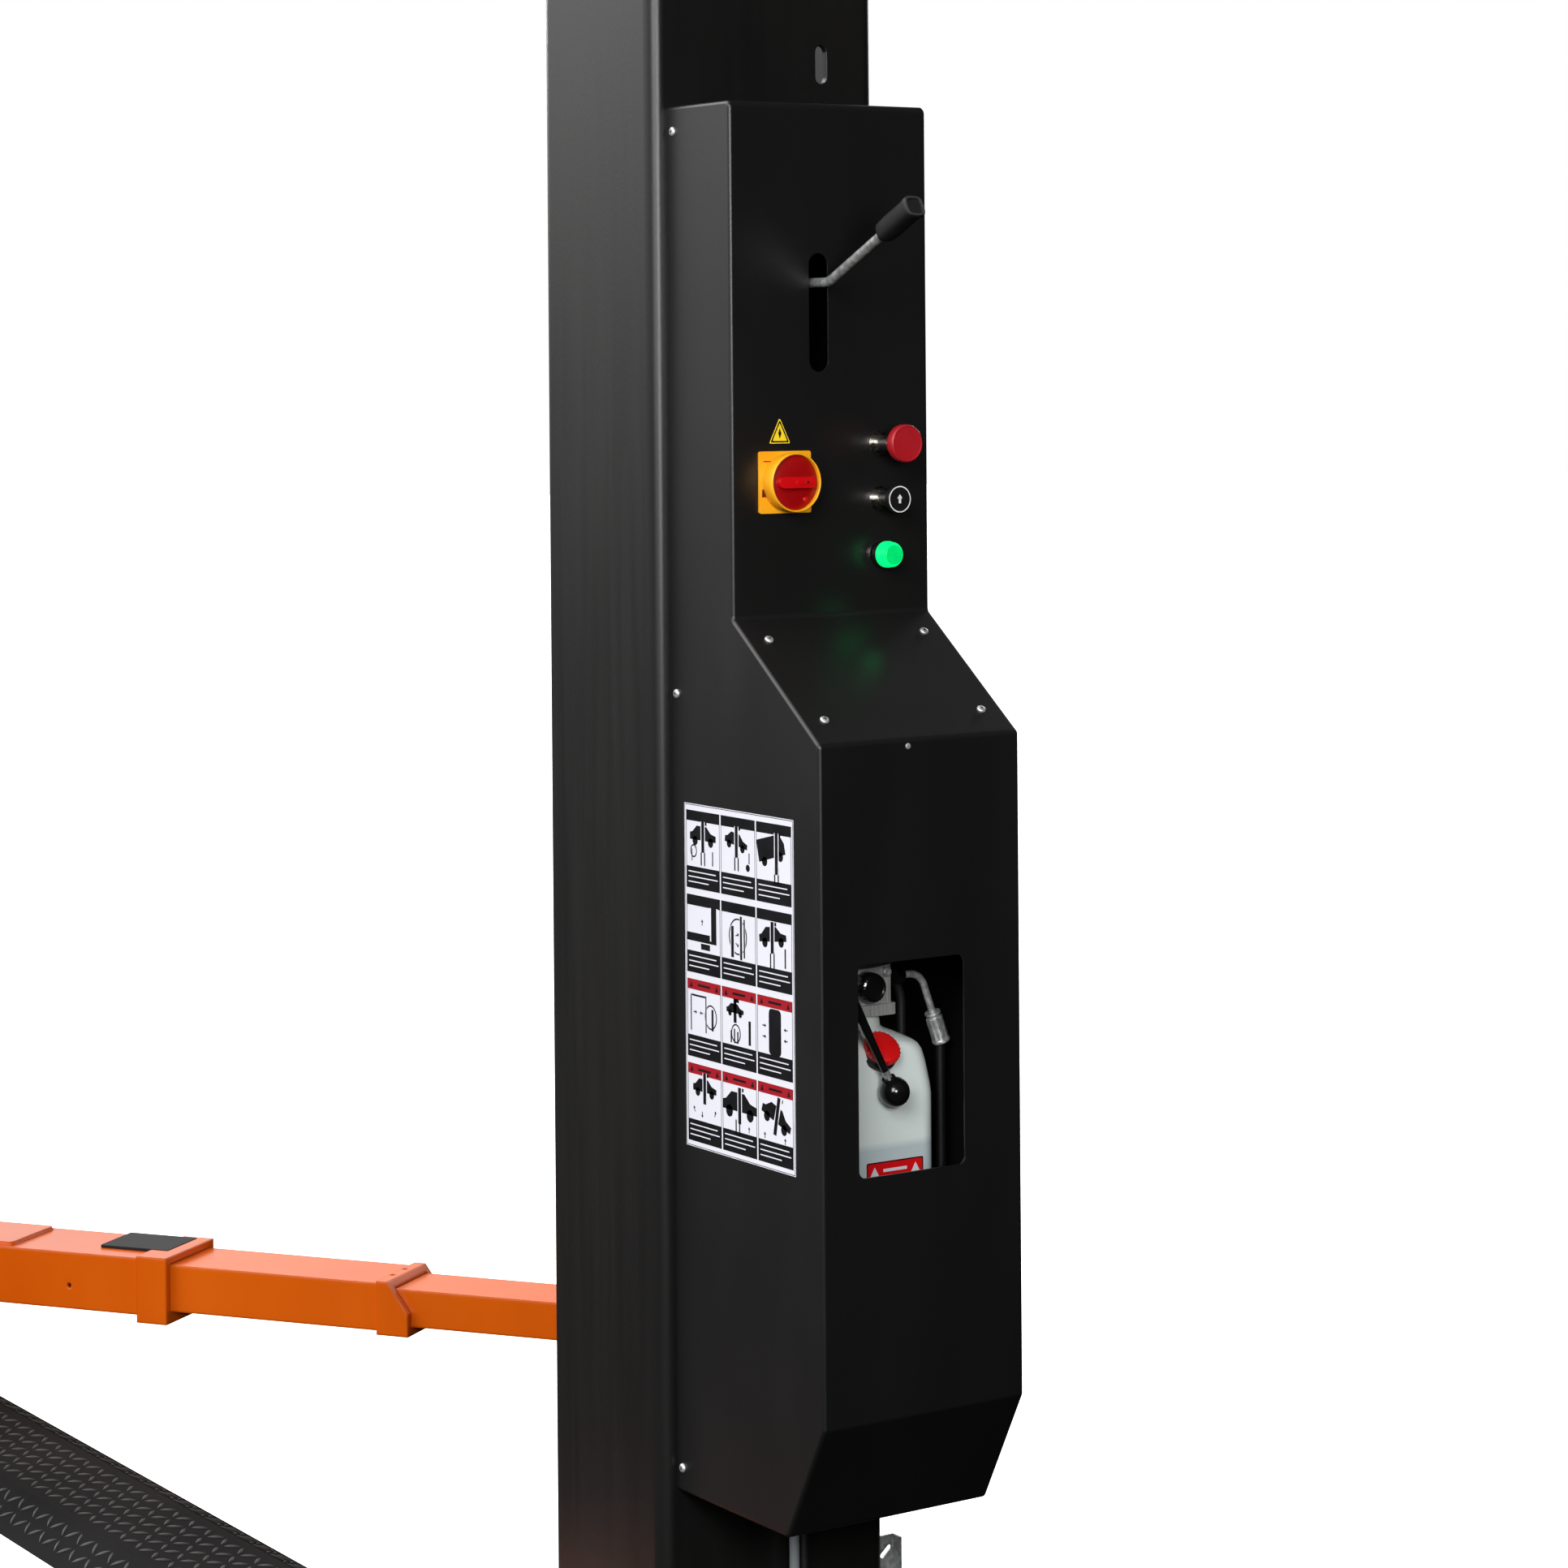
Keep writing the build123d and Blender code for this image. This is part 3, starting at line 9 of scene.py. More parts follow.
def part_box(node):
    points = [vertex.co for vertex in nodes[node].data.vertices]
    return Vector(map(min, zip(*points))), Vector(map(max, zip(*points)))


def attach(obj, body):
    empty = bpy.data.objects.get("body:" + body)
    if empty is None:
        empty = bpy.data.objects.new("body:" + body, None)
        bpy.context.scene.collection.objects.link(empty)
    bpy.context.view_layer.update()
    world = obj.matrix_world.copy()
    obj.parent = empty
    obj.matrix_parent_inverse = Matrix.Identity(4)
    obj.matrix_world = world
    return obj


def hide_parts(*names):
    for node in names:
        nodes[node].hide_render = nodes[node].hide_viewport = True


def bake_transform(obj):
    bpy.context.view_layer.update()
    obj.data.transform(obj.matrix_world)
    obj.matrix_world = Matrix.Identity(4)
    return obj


# Looks of a two-post vehicle lift. Shapes are worked out in millimetres in the lift's own frame:
# X points at the power column, -Y is the front, Z is up and the floor is z = 0.
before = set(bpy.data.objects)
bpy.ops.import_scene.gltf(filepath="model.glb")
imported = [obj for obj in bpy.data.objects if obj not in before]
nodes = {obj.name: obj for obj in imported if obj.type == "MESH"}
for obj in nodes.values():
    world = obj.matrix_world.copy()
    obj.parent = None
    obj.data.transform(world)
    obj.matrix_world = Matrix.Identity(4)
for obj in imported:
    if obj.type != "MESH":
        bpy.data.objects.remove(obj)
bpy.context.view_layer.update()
MM = 0.001


def corners(node):
    """Lowest and highest corner of a CAD node in millimetres."""
    low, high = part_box(node)
    return np.array(low) / MM, np.array(high) / MM


ENCLOSURE_TO_FRONT = 278.0
UNIT_REACH = 135.0
web = corners("control_cover")[0][0]      # outer face of the power column's web
panel = corners("hazard_label")[0][0]     # upper front of the cover
front = corners("electrical_enclosure")[0][0] + ENCLOSURE_TO_FRONT   # lower front of the cover
unit_x, unit_y = web + UNIT_REACH, -17.0  # upright axis of the motor and its pump block
valve_y, valve_z = -52.0, 1046.0          # axis of the lowering valve, along X
COLUMNS = (("power", 1), ("offside", -1))


# ---- shapes
def unit(vector):
    """The vector at length one."""
    return np.asarray(vector, float) / np.linalg.norm(vector)


def facing(origin, normal, up=(0, 0, 1)):
    """Frame on a face: u runs to the right of someone who looks at it, v is upwards, w is its normal."""
    w = unit(normal)
    u = unit(np.cross(up, w))
    return np.asarray(origin, float), u, np.cross(w, u), w


def angles(steps):
    """Even angles over a full turn."""
    return np.linspace(0, 2 * pi, steps, endpoint=False)


def put(place, a, b, c):
    """Points at distances a, b and c along the three axes of a frame; the distances are arrays."""
    origin, u, v, w = place
    a, b, c = np.broadcast_arrays(a, b, c)
    return origin + a[..., None] * u + b[..., None] * v + c[..., None] * w


def moved(place, a, b, c=0.0):
    """The same frame with its origin moved along its three axes."""
    return (put(place, a, b, c), *place[1:])


def skin(grid, loop_rows=False, caps=True):
    """Faces over a grid of points: each point is joined to the next in its row and in its column. Rows
    are closed rings. The first and last ring get a flat cap, or are joined to each other."""
    rows, columns = grid.shape[:2]
    number = np.arange(rows * columns).reshape(rows, columns)
    number = np.concatenate([number, number[:, :1]], axis=1)
    if loop_rows:
        number = np.concatenate([number, number[:1]], axis=0)
    quads = np.stack([number[:-1, :-1], number[:-1, 1:], number[1:, 1:], number[1:, :-1]], axis=-1)
    faces = quads.reshape(-1, 4).tolist()
    if caps and not loop_rows:
        faces += [number[0, :-1][::-1].tolist(), number[-1, :-1].tolist()]
    return grid.reshape(-1, 3), faces


def carried(place, radius, height, closed=False):
    """A section carried round the frame's w axis. radius has a row for each height and a column for each
    even angle t: point = origin + radius * (cos t, sin t) across + height along."""
    t = angles(radius.shape[1])
    along = np.asarray(height, float)[:, None]
    return skin(put(place, radius * np.cos(t), radius * np.sin(t), along), loop_rows=closed)


def turned(place, profile, steps=48, closed=False, wave=0.0):
    """A profile of (radius, height) pairs carried round the frame's w axis. A wave gives it 24 flutes:
    the radius is multiplied by 1 + wave * cos(24 t)."""
    radius, height = np.asarray(profile, float).T
    flutes = 1 + wave * np.cos(24 * angles(steps))
    return carried(place, radius[:, None] * flutes, height, closed)


def ring(place, inner, outer, low, high, steps=64):
    """A flat ring: its four-cornered section is carried round the w axis and closed on itself."""
    return turned(place, [(inner, low), (outer, low), (outer, high), (inner, high)], steps, closed=True)


def slab(place, outline, low, high):
    """A flat outline in the frame's u and v, given thickness from low to high along w."""
    outline = np.asarray(outline, float)
    height = np.array([[low], [high]], float)
    return skin(put(place, outline[None, :, 0], outline[None, :, 1], height))


def border(place, outer, inner, low, high):
    """A flat frame between two outlines with as many points: outer low and high, then inner high and low."""
    rows = np.stack([outer, outer, inner, inner]).astype(float)
    height = np.array([low, high, high, low], float)[:, None]
    return skin(put(place, rows[..., 0], rows[..., 1], height), loop_rows=True)


def tube(path, radius, across, steps=16):
    """A round section carried along a flat path. u stands square to the path and to across, v square to u
    and the path, and point = path + radius * (u cos t + v sin t). The radius may change along the path."""
    path = np.asarray(path, float)
    along = np.gradient(path, axis=0)
    along /= np.linalg.norm(along, axis=1)[:, None]
    u = np.cross(across, along)
    u /= np.linalg.norm(u, axis=1)[:, None]
    v = np.cross(along, u)
    t = angles(steps)[None, :, None]
    radius = np.broadcast_to(radius, len(path))[:, None, None]
    return skin(path[:, None] + radius * (u[:, None] * np.cos(t) + v[:, None] * np.sin(t)))


def box_shape(low, high):
    """A box between two corners, as an outline in X and Y given height."""
    (x0, y0, z0), (x1, y1, z1) = low, high
    return slab(ROW, [(x0, y0), (x1, y0), (x1, y1), (x0, y1)], z0, z1)


def rectangle(a, b, wide, high):
    """Four corners about (a, b)."""
    return np.array([(a - wide / 2, b - high / 2), (a + wide / 2, b - high / 2),
                     (a + wide / 2, b + high / 2), (a - wide / 2, b + high / 2)])


def circle(a, b, radius, steps=32, squeeze=1.0):
    """Points at even angles round (a, b); squeeze shortens the first axis."""
    t = angles(steps)
    return np.stack([a + squeeze * radius * np.cos(t), b + radius * np.sin(t)], axis=1)


def eased(outline, radius, steps=6):
    """An outline with each corner replaced by an arc that touches both its sides: the arc's points lie
    at even angles between the two directions from its centre to the sides."""
    outline = np.asarray(outline, float)
    back = np.roll(outline, 1, axis=0) - outline
    ahead = np.roll(outline, -1, axis=0) - outline
    back /= np.linalg.norm(back, axis=1)[:, None]
    ahead /= np.linalg.norm(ahead, axis=1)[:, None]
    half = np.arccos(np.clip((back * ahead).sum(axis=1), -1, 1)) / 2
    middle = back + ahead
    middle /= np.linalg.norm(middle, axis=1)[:, None]
    centre = outline + middle * (radius / np.sin(half))[:, None]
    first = outline + back * (radius / np.tan(half))[:, None] - centre
    last = outline + ahead * (radius / np.tan(half))[:, None] - centre
    turn = (pi - 2 * half)[:, None, None]
    t = np.linspace(0, 1, steps)[None, :, None]
    arc = (np.sin((1 - t) * turn) * first[:, None] + np.sin(t * turn) * last[:, None]) / np.sin(turn)
    return (centre[:, None] + arc).reshape(-1, 2)


def capsule(length, width, steps=12):
    """A slot's outline about the origin, long in u: two half circles."""
    t = np.linspace(-pi / 2, pi / 2, steps)
    reach = (length - width) / 2
    right = np.stack([reach + width / 2 * np.cos(t), width / 2 * np.sin(t)], axis=1)
    return np.concatenate([right, -right])


def turned_outline(outline, angle, a=0.0, b=0.0):
    """An outline turned by an angle in degrees about the origin, then moved to (a, b)."""
    t = radians(angle)
    outline = np.asarray(outline, float)
    return outline @ np.array([(cos(t), sin(t)), (-sin(t), cos(t))]) + np.array([a, b])


def copies(shape, origins, axes):
    """The same shape at many places: points = origin + the shape's coordinates times that place's axes.
    One origin may serve all places."""
    points, faces = shape
    origins = np.broadcast_to(origins, (len(axes), 3))
    placed = origins[:, None] + np.einsum("pk,nkj->npj", points, axes)
    size = len(points)
    repeated = [[i + size * n for i in face] for n in range(len(axes)) for face in faces]
    return placed.reshape(-1, 3), repeated


def round_z(count):
    """Axes for copies at even angles t round Z: (cos t, sin t, 0), (-sin t, cos t, 0) and (0, 0, 1)."""
    t = angles(count)
    across = np.stack([np.cos(t), np.sin(t), 0 * t], axis=1)
    sideways = np.stack([-np.sin(t), np.cos(t), 0 * t], axis=1)
    return np.stack([across, sideways, np.broadcast_to((0.0, 0.0, 1.0), (count, 3))], axis=1)


def joined(shapes):
    """Several shapes as one: all their points, and their faces numbered to match."""
    points = np.concatenate([shape[0] for shape in shapes])
    faces = []
    start = 0
    for shape in shapes:
        faces += [[i + start for i in face] for face in shape[1]]
        start += len(shape[0])
    return points, faces


def new_object(name, data):
    """An object linked to the scene."""
    thing = bpy.data.objects.new(name, data)
    bpy.context.scene.collection.objects.link(thing)
    return thing


ROW = (np.zeros(3), np.array([1.0, 0, 0]), np.array([0, 1.0, 0]), np.array([0, 0, 1.0]))


def piece(name, shapes, materials, body, stands_for=(), bevel=0.0, smooth=35.0):
    """One object at the origin from shapes in millimetres. A shape is (points, faces) or
    (points, faces, number of its material). Normals are made to point outwards."""
    points, faces = joined(shapes)
    paints = []
    for shape in shapes:
        paints += [shape[2] if len(shape) > 2 else 0] * len(shape[1])
    mesh = bpy.data.meshes.new(name)
    mesh.from_pydata((points * MM).tolist(), [], faces)
    mesh.polygons.foreach_set("material_index", paints)
    work = bmesh.new()
    work.from_mesh(mesh)
    bmesh.ops.remove_doubles(work, verts=work.verts, dist=1e-6)
    bmesh.ops.recalc_face_normals(work, faces=work.faces)
    work.to_mesh(mesh)
    work.free()
    mesh.polygons.foreach_set("use_smooth", [True] * len(mesh.polygons))
    mesh.set_sharp_from_angle(angle=radians(smooth))
    thing = new_object(name, mesh)
    for material in materials:
        mesh.materials.append(material)
    if bevel:
        edge = thing.modifiers.new("edge", "BEVEL")
        edge.width = bevel * MM
        edge.segments = 2
        edge.limit_method = "ANGLE"
        edge.angle_limit = radians(40)
    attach(thing, body)
    if stands_for:
        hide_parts(*stands_for)
    return thing


# ---- material tools
def linear(code):
    """Linear colour of an sRGB hex value."""
    value = np.array([int(code[i:i + 2], 16) for i in (0, 2, 4)]) / 255
    value = np.where(value <= 0.04045, value / 12.92, ((value + 0.055) / 1.055) ** 2.4)
    return (*value.tolist(), 1.0)


def add(tree, kind, inputs=None, **settings):
    """Adds one node. settings are its own properties. inputs give a socket a value or another node's
    output."""
    node = tree.nodes.new("ShaderNode" + kind)
    for key, value in settings.items():
        setattr(node, key, value)
    for socket, value in (inputs or {}).items():
        if isinstance(value, bpy.types.NodeSocket):
            tree.links.new(value, node.inputs[socket])
        else:
            node.inputs[socket].default_value = value
    return node


def finish(name, colour, roughness, metallic=0.0, **more):
    """A material with one colour to start from. more gives other sockets of the shader by their names,
    with underscores for spaces. Returns the material, its node tree and its shader."""
    material = bpy.data.materials.new(name)
    material.use_nodes = True
    tree = material.node_tree
    shader = tree.nodes["Principled BSDF"]
    shader.inputs["Base Color"].default_value = linear(colour)
    shader.inputs["Roughness"].default_value = roughness
    shader.inputs["Metallic"].default_value = metallic
    for socket, value in more.items():
        shader.inputs[socket.replace("_", " ")].default_value = value
    return material, tree, shader


def cloud(tree, size, stretch=(1, 1, 1), detail=3.0):
    """Noise whose blotches are about size millimetres across, times stretch along each axis."""
    place = add(tree, "TexCoord").outputs["Object"]
    scale = [1 / (size * MM * s) for s in stretch]
    scaled = add(tree, "Mapping", {"Vector": place, "Scale": scale}).outputs["Vector"]
    return add(tree, "TexNoise", {"Vector": scaled, "Scale": 1.0, "Detail": detail}).outputs["Fac"]


def two_tone(tree, shader, factor, low, high, start=0.35, end=0.65, socket="Base Color"):
    """Colour between two tones, by a pattern's value from start to end."""
    ramp = add(tree, "ValToRGB", {"Fac": factor})
    for element, place, tone in zip(ramp.color_ramp.elements, (start, end), (low, high)):
        element.position = place
        element.color = linear(tone)
    tree.links.new(ramp.outputs["Color"], shader.inputs[socket])


def gloss_range(tree, shader, factor, low, high):
    """Roughness between two values, by a pattern's value."""
    spread = add(tree, "MapRange", {"Value": factor, "From Min": 0.3, "From Max": 0.7,
                                    "To Min": low, "To Max": high})
    tree.links.new(spread.outputs["Result"], shader.inputs["Roughness"])


def relief(tree, shader, factor, depth, normal=None):
    """Bump from a pattern; depth in millimetres. It may start from a normal other than the surface's."""
    bump = add(tree, "Bump", {"Height": factor, "Distance": depth * MM})
    if normal:
        tree.links.new(normal, bump.inputs["Normal"])
    tree.links.new(bump.outputs["Normal"], shader.inputs["Normal"])


def height_above_floor(tree):
    """Output of the shaded point's height in metres."""
    place = add(tree, "TexCoord").outputs["Object"]
    return add(tree, "SeparateXYZ", {"Vector": place}).outputs["Z"]


def surface(name, rough, tone=None, gloss=None, bump=None, **more):
    """A material from up to three patterns, each given by cloud's arguments and what it sets: two colours
    for tone, two roughnesses for gloss, a depth in millimetres for bump. more goes to finish."""
    material, tree, shader = finish(name, more.pop("colour", tone and tone[1]), rough, **more)
    for give, wanted in ((two_tone, tone), (gloss_range, gloss), (relief, bump)):
        if wanted:
            give(tree, shader, cloud(tree, *wanted[0]), *wanted[1:])
    return material


# ---- materials
def powder_coat(name, low, high, rough, peel=0.05, streaks=0.0, shine=0.5, edge=1.5):
    """Polyester powder coat, baked on steel: satin, with fine orange peel. Its grain is about 1 mm, drawn
    at 4 mm so that it shows, and slow drifts in tone about 180 mm long. Streaks are wipe marks along Z.
    The coat flows over sheared edges, so that they catch the light over edge millimetres."""
    material, tree, shader = finish(name, low, rough, Specular_IOR_Level=shine)
    drift = cloud(tree, 180, (1, 1, 3))
    two_tone(tree, shader, drift, low, high)
    wiped = cloud(tree, 14, (1, 1, 24), detail=2.0) if streaks else cloud(tree, 90, (1, 1, 2))
    gloss_range(tree, shader, wiped, rough - 0.015 - streaks, rough + 0.02 + streaks)
    soft_edge = add(tree, "Bevel", {"Radius": edge * MM}, samples=4).outputs["Normal"]
    relief(tree, shader, cloud(tree, 4, detail=1.0), peel, soft_edge)
    return material


def oily_steel(name, low, high):
    """Rolled steel under a film of chain oil: dark, half-glossy and patchy over about 12 mm."""
    patch = (12,)
    return surface(name, 0.36, (patch, low, high), (patch, 0.26, 0.5), metallic=0.9)


def zinc_plate(name, low="a4a7a8", high="d0d2d2"):
    """Bright zinc plating on steel: cool grey with a faint crystal patch of about 6 mm."""
    patch = (6, (1, 1, 1), 2.0)
    return surface(name, 0.34, (patch, low, high), (patch, 0.34, 0.5), (patch, 0.02), metallic=0.7)


def hard_chrome():
    """Ground and hard-chromed rod: mirror-like, with fine rings left by grinding every 2 mm."""
    rings = (2, (40, 40, 1), 1.0)
    return surface("hard_chrome", 0.12, None, (rings, 0.08, 0.2), (rings, 0.005), colour="c9cccf",
                   metallic=1.0)


def bright_nickel():
    """Nickel-plated brass barrels of the buttons: bright and smooth, slightly clouded over 5 mm."""
    return surface("bright_nickel", 0.2, None, ((5,), 0.14, 0.3), colour="b6b3ad", metallic=1.0)


def milled_aluminium():
    """Aluminium block milled on its faces: cutter marks about 1.2 mm apart across X, drawn at 2 mm."""
    marks = (2, (1, 1, 30), 2.0)
    return surface("milled_aluminium", 0.38, (marks, "a3a5a4", "cdcecb"), (marks, 0.3, 0.46), (marks, 0.02),
                   metallic=0.45)


def moulded_plastic(name, low, high, rough, grain=1.5):
    """Injection-moulded ABS or nylon: an even colour with a spark-eroded grain, drawn at grain
    millimetres, and a slow drift in tone."""
    return surface(name, rough, ((40,), low, high), ((25,), rough - 0.05, rough + 0.06),
                   ((grain, (1, 1, 1), 1.0), 0.03), Specular_IOR_Level=0.5)


def black_rubber(name, low="0d0d0d", high="1b1b1a", rough=0.72, grain=2.5):
    """Vulcanised rubber: dull, nearly black, with a pebbled skin and grey dust over about 60 mm."""
    pebbles = (grain, (1, 1, 1), 2.0)
    return surface(name, rough, ((60,), low, high), None, (pebbles, 0.15), Specular_IOR_Level=0.35)


WEAVE = (2, (1, 1, 0.5), 0.0)


def hose_rubber(name, low, high):
    """Braided hose under a wrapped rubber skin: the cloth wrap leaves a weave of about 2 mm."""
    return surface(name, 0.55, (WEAVE, low, high), None, (WEAVE, 0.15), Specular_IOR_Level=0.4)


def guarded_hose(guard_from=0.45):
    """Grey hose cover with a weave of about 2 mm; above guard_from in metres it wears a black guard."""
    material, tree, shader = finish("grey_hose_in_black_guard", "6f7376", 0.5, Specular_IOR_Level=0.35)
    height = height_above_floor(tree)
    guard = add(tree, "Math", {0: height, 1: guard_from}, operation="GREATER_THAN").outputs["Value"]
    two_tone(tree, shader, guard, "7b8184", "0a0a0a", 0.4, 0.6)
    relief(tree, shader, cloud(tree, *WEAVE), 0.15)
    return material


def cloudy_polyethylene(oil_level=0.875, blur=0.004):
    """Blow-moulded natural polyethylene: milky, lets light into its wall, waxy gloss, with the faint
    ripples of an uneven wall about 9 mm apart. Below the oil's level, in metres, its tone is cooler."""
    material, tree, shader = finish("cloudy_polyethylene", "d3dbd8", 0.42, Specular_IOR_Level=0.4,
                                    Subsurface_Weight=0.35, Subsurface_Radius=(0.02, 0.022, 0.022))
    above_oil = add(tree, "MapRange", {"Value": height_above_floor(tree), "From Min": oil_level - blur,
                                       "From Max": oil_level + blur})
    two_tone(tree, shader, above_oil.outputs["Result"], "b9c6c9", "d9e2df", 0.0, 1.0)
    relief(tree, shader, cloud(tree, 9), 0.12)
    return material


def vinyl_film(name, colour):
    """Printed vinyl: even ink under a clear satin film, whose adhesive leaves slow ripples of 15 mm."""
    return surface(name, 0.4, None, ((20,), 0.34, 0.46), ((15,), 0.04), colour=colour,
                   Specular_IOR_Level=0.15)


def lit_lens(name, colour, glow, strength):
    """Coloured polycarbonate lens with a lamp behind it: glossy, lit from inside, a little brighter in
    patches of 8 mm where the prisms behind it gather light."""
    material, tree, shader = finish(name, colour, 0.18, Specular_IOR_Level=0.5, Emission_Strength=strength)
    two_tone(tree, shader, cloud(tree, 8), colour, glow, 0.0, 1.0, socket="Emission Color")
    return material


COLUMN_BLACK = powder_coat("column_satin_black", "0d0c0c", "141312", 0.35, streaks=0.004, edge=2.0)
COVER_BLACK = powder_coat("cover_satin_black", "0d0d0d", "131212", 0.36, peel=0.04, edge=0.6)
BASE_BLACK = powder_coat("base_satin_black", "121212", "1b1a19", 0.46)
TREAD_BLACK = powder_coat("tread_plate_enamel", "0e0d0d", "161515", 0.6, peel=0.08, shine=0.02)
# The bars are the plate's black enamel in a lighter tone: painted highlight where the raised bars catch the
# light.
TREAD_BARS_PAINTED_HIGHLIGHT = powder_coat("tread_bar_enamel_painted_highlight", "1f1d1d", "2a2828", 0.42, shine=0.25)
ARM_ORANGE = powder_coat("arm_orange_powder_coat", "d65a06", "de620a", 0.24, peel=0.05, shine=0.45, edge=6.0)
CARRIAGE_BLACK = powder_coat("carriage_satin_black", "1a1a1b", "242425", 0.5)
BARREL_GREY = powder_coat("barrel_grey_enamel", "2a2c2e", "35373a", 0.4)
MOTOR_GREY = powder_coat("motor_hammered_grey", "2c2e31", "3b3e42", 0.45, peel=0.15)
WELD_STEEL = powder_coat("painted_weld", "131212", "232120", 0.34, peel=0.25)
CHAIN_STEEL = oily_steel("oiled_leaf_chain", "3a3632", "6a645c")
LATCH_STEEL = oily_steel("phosphated_latch_steel", "4a4a4a", "77777a")
BLACK_OXIDE = oily_steel("black_oxide_steel", "161616", "2a2a2a")
PIPE_STEEL = zinc_plate("galvanised_pipe", "6f7375", "8e9294")
ZINC = zinc_plate("bright_zinc")
SCREW_ZINC = zinc_plate("screw_zinc", "b9bbbb", "dedfde")
CHROME = hard_chrome()
NICKEL = bright_nickel()
ALUMINIUM = milled_aluminium()
NYLON = moulded_plastic("cream_nylon", "c9c2ae", "d8d2c0", 0.5)
ENCLOSURE_GREY = moulded_plastic("light_grey_enclosure", "a9adaf", "b6babc", 0.5)
AMBER = moulded_plastic("amber_abs", "f0a010", "f6ad1c", 0.4)
# Two tones of one red moulding: the bar's brighter red is painted light, and the dial's darker red is
# painted shade under the raised bar.
SWITCH_RED = moulded_plastic("switch_red_abs", "c60a10", "d01016", 0.24)
DIAL_RED_PAINTED_SHADE = moulded_plastic("dial_red_abs_painted_shade", "900205", "9c0407", 0.34)
DARK_RED = moulded_plastic("window_dark_red", "5a0f0a", "6c140e", 0.3)
STOP_RED = moulded_plastic("mushroom_red_abs", "a0161f", "aa1a24", 0.34)
CAP_RED = moulded_plastic("cap_red_polypropylene", "d40f12", "e2171a", 0.4)
BLACK_ABS = moulded_plastic("black_abs", "0c0c0d", "151516", 0.34)
PHENOLIC = moulded_plastic("black_phenolic", "090909", "101010", 0.16, grain=6)
BAR_ENAMEL = moulded_plastic("glossy_black_enamel", "0b0b0b", "131313", 0.16, grain=8)
WHITE_ABS = moulded_plastic("white_abs", "d8d8d5", "e4e4e2", 0.4)
GRIP_RUBBER = black_rubber("grip_vinyl", "101011", "1a1a1b", 0.5, 1.5)
PAD_RUBBER = black_rubber("saddle_rubber")
STRIP_RUBBER = black_rubber("strip_rubber", "070707", "0e0e0e", 0.75)
GUARDED_HOSE = guarded_hose()
HOSE_BLACK = hose_rubber("black_hose_cover", "0f0f10", "1a1a1b")
POLYETHYLENE = cloudy_polyethylene()
FILM_WHITE = vinyl_film("white_vinyl", "c9c9d1")
FILM_BLACK = vinyl_film("black_ink", "101013")
FILM_RED = vinyl_film("red_ink", "8d1620")
FILM_YELLOW = vinyl_film("yellow_ink", "f2d22c")
FILM_BRIGHT_RED = vinyl_film("bright_red_ink", "c80f16")
LAMP_GREEN = lit_lens("lit_green_lens", "00b858", "10f088", 1.15)
LAMP_CORE = lit_lens("lit_green_core", "00a850", "04cc6c", 0.85)

NODE_FINISHES = {
    "column": COLUMN_BLACK, "base": BASE_BLACK, "rod": CHROME, "sheave": LATCH_STEEL,
    "carriage": CARRIAGE_BLACK, "slide_blocks": NYLON, "arm_pins": ZINC, "pawl": LATCH_STEEL,
    "rear_outer": ARM_ORANGE, "rear_middle": ARM_ORANGE, "rear_inner": ARM_ORANGE,
    "front_outer": ARM_ORANGE, "front_inner": ARM_ORANGE, "column_caps": COLUMN_BLACK,
    "cylinders": BARREL_GREY, "latch_ladders": LATCH_STEEL, "floor_cover": TREAD_BLACK,
    "floor_line": PIPE_STEEL, "control_cover": COVER_BLACK, "mounting_brackets": ZINC,
    "electrical_enclosure": ENCLOSURE_GREY, "button_necks": NICKEL,
    "pressure_hose": GUARDED_HOSE, "return_hose": HOSE_BLACK,
}


def paint_nodes():
    """Gives every CAD node that stays in view its finish."""
    for name, thing in nodes.items():
        kind = name.removeprefix("power_").removeprefix("offside_")
        if kind in NODE_FINISHES:
            thing.data.materials.clear()
            thing.data.materials.append(NODE_FINISHES[kind])


# ---- controls on the upper front
def on_node(name, x):
    """A node's two corners, and a frame that faces X at the node's middle, its origin at x."""
    low, high = corners(name)
    return low, high, facing((x, (low[1] + high[1]) / 2, (low[2] + high[2]) / 2), (1, 0, 0))


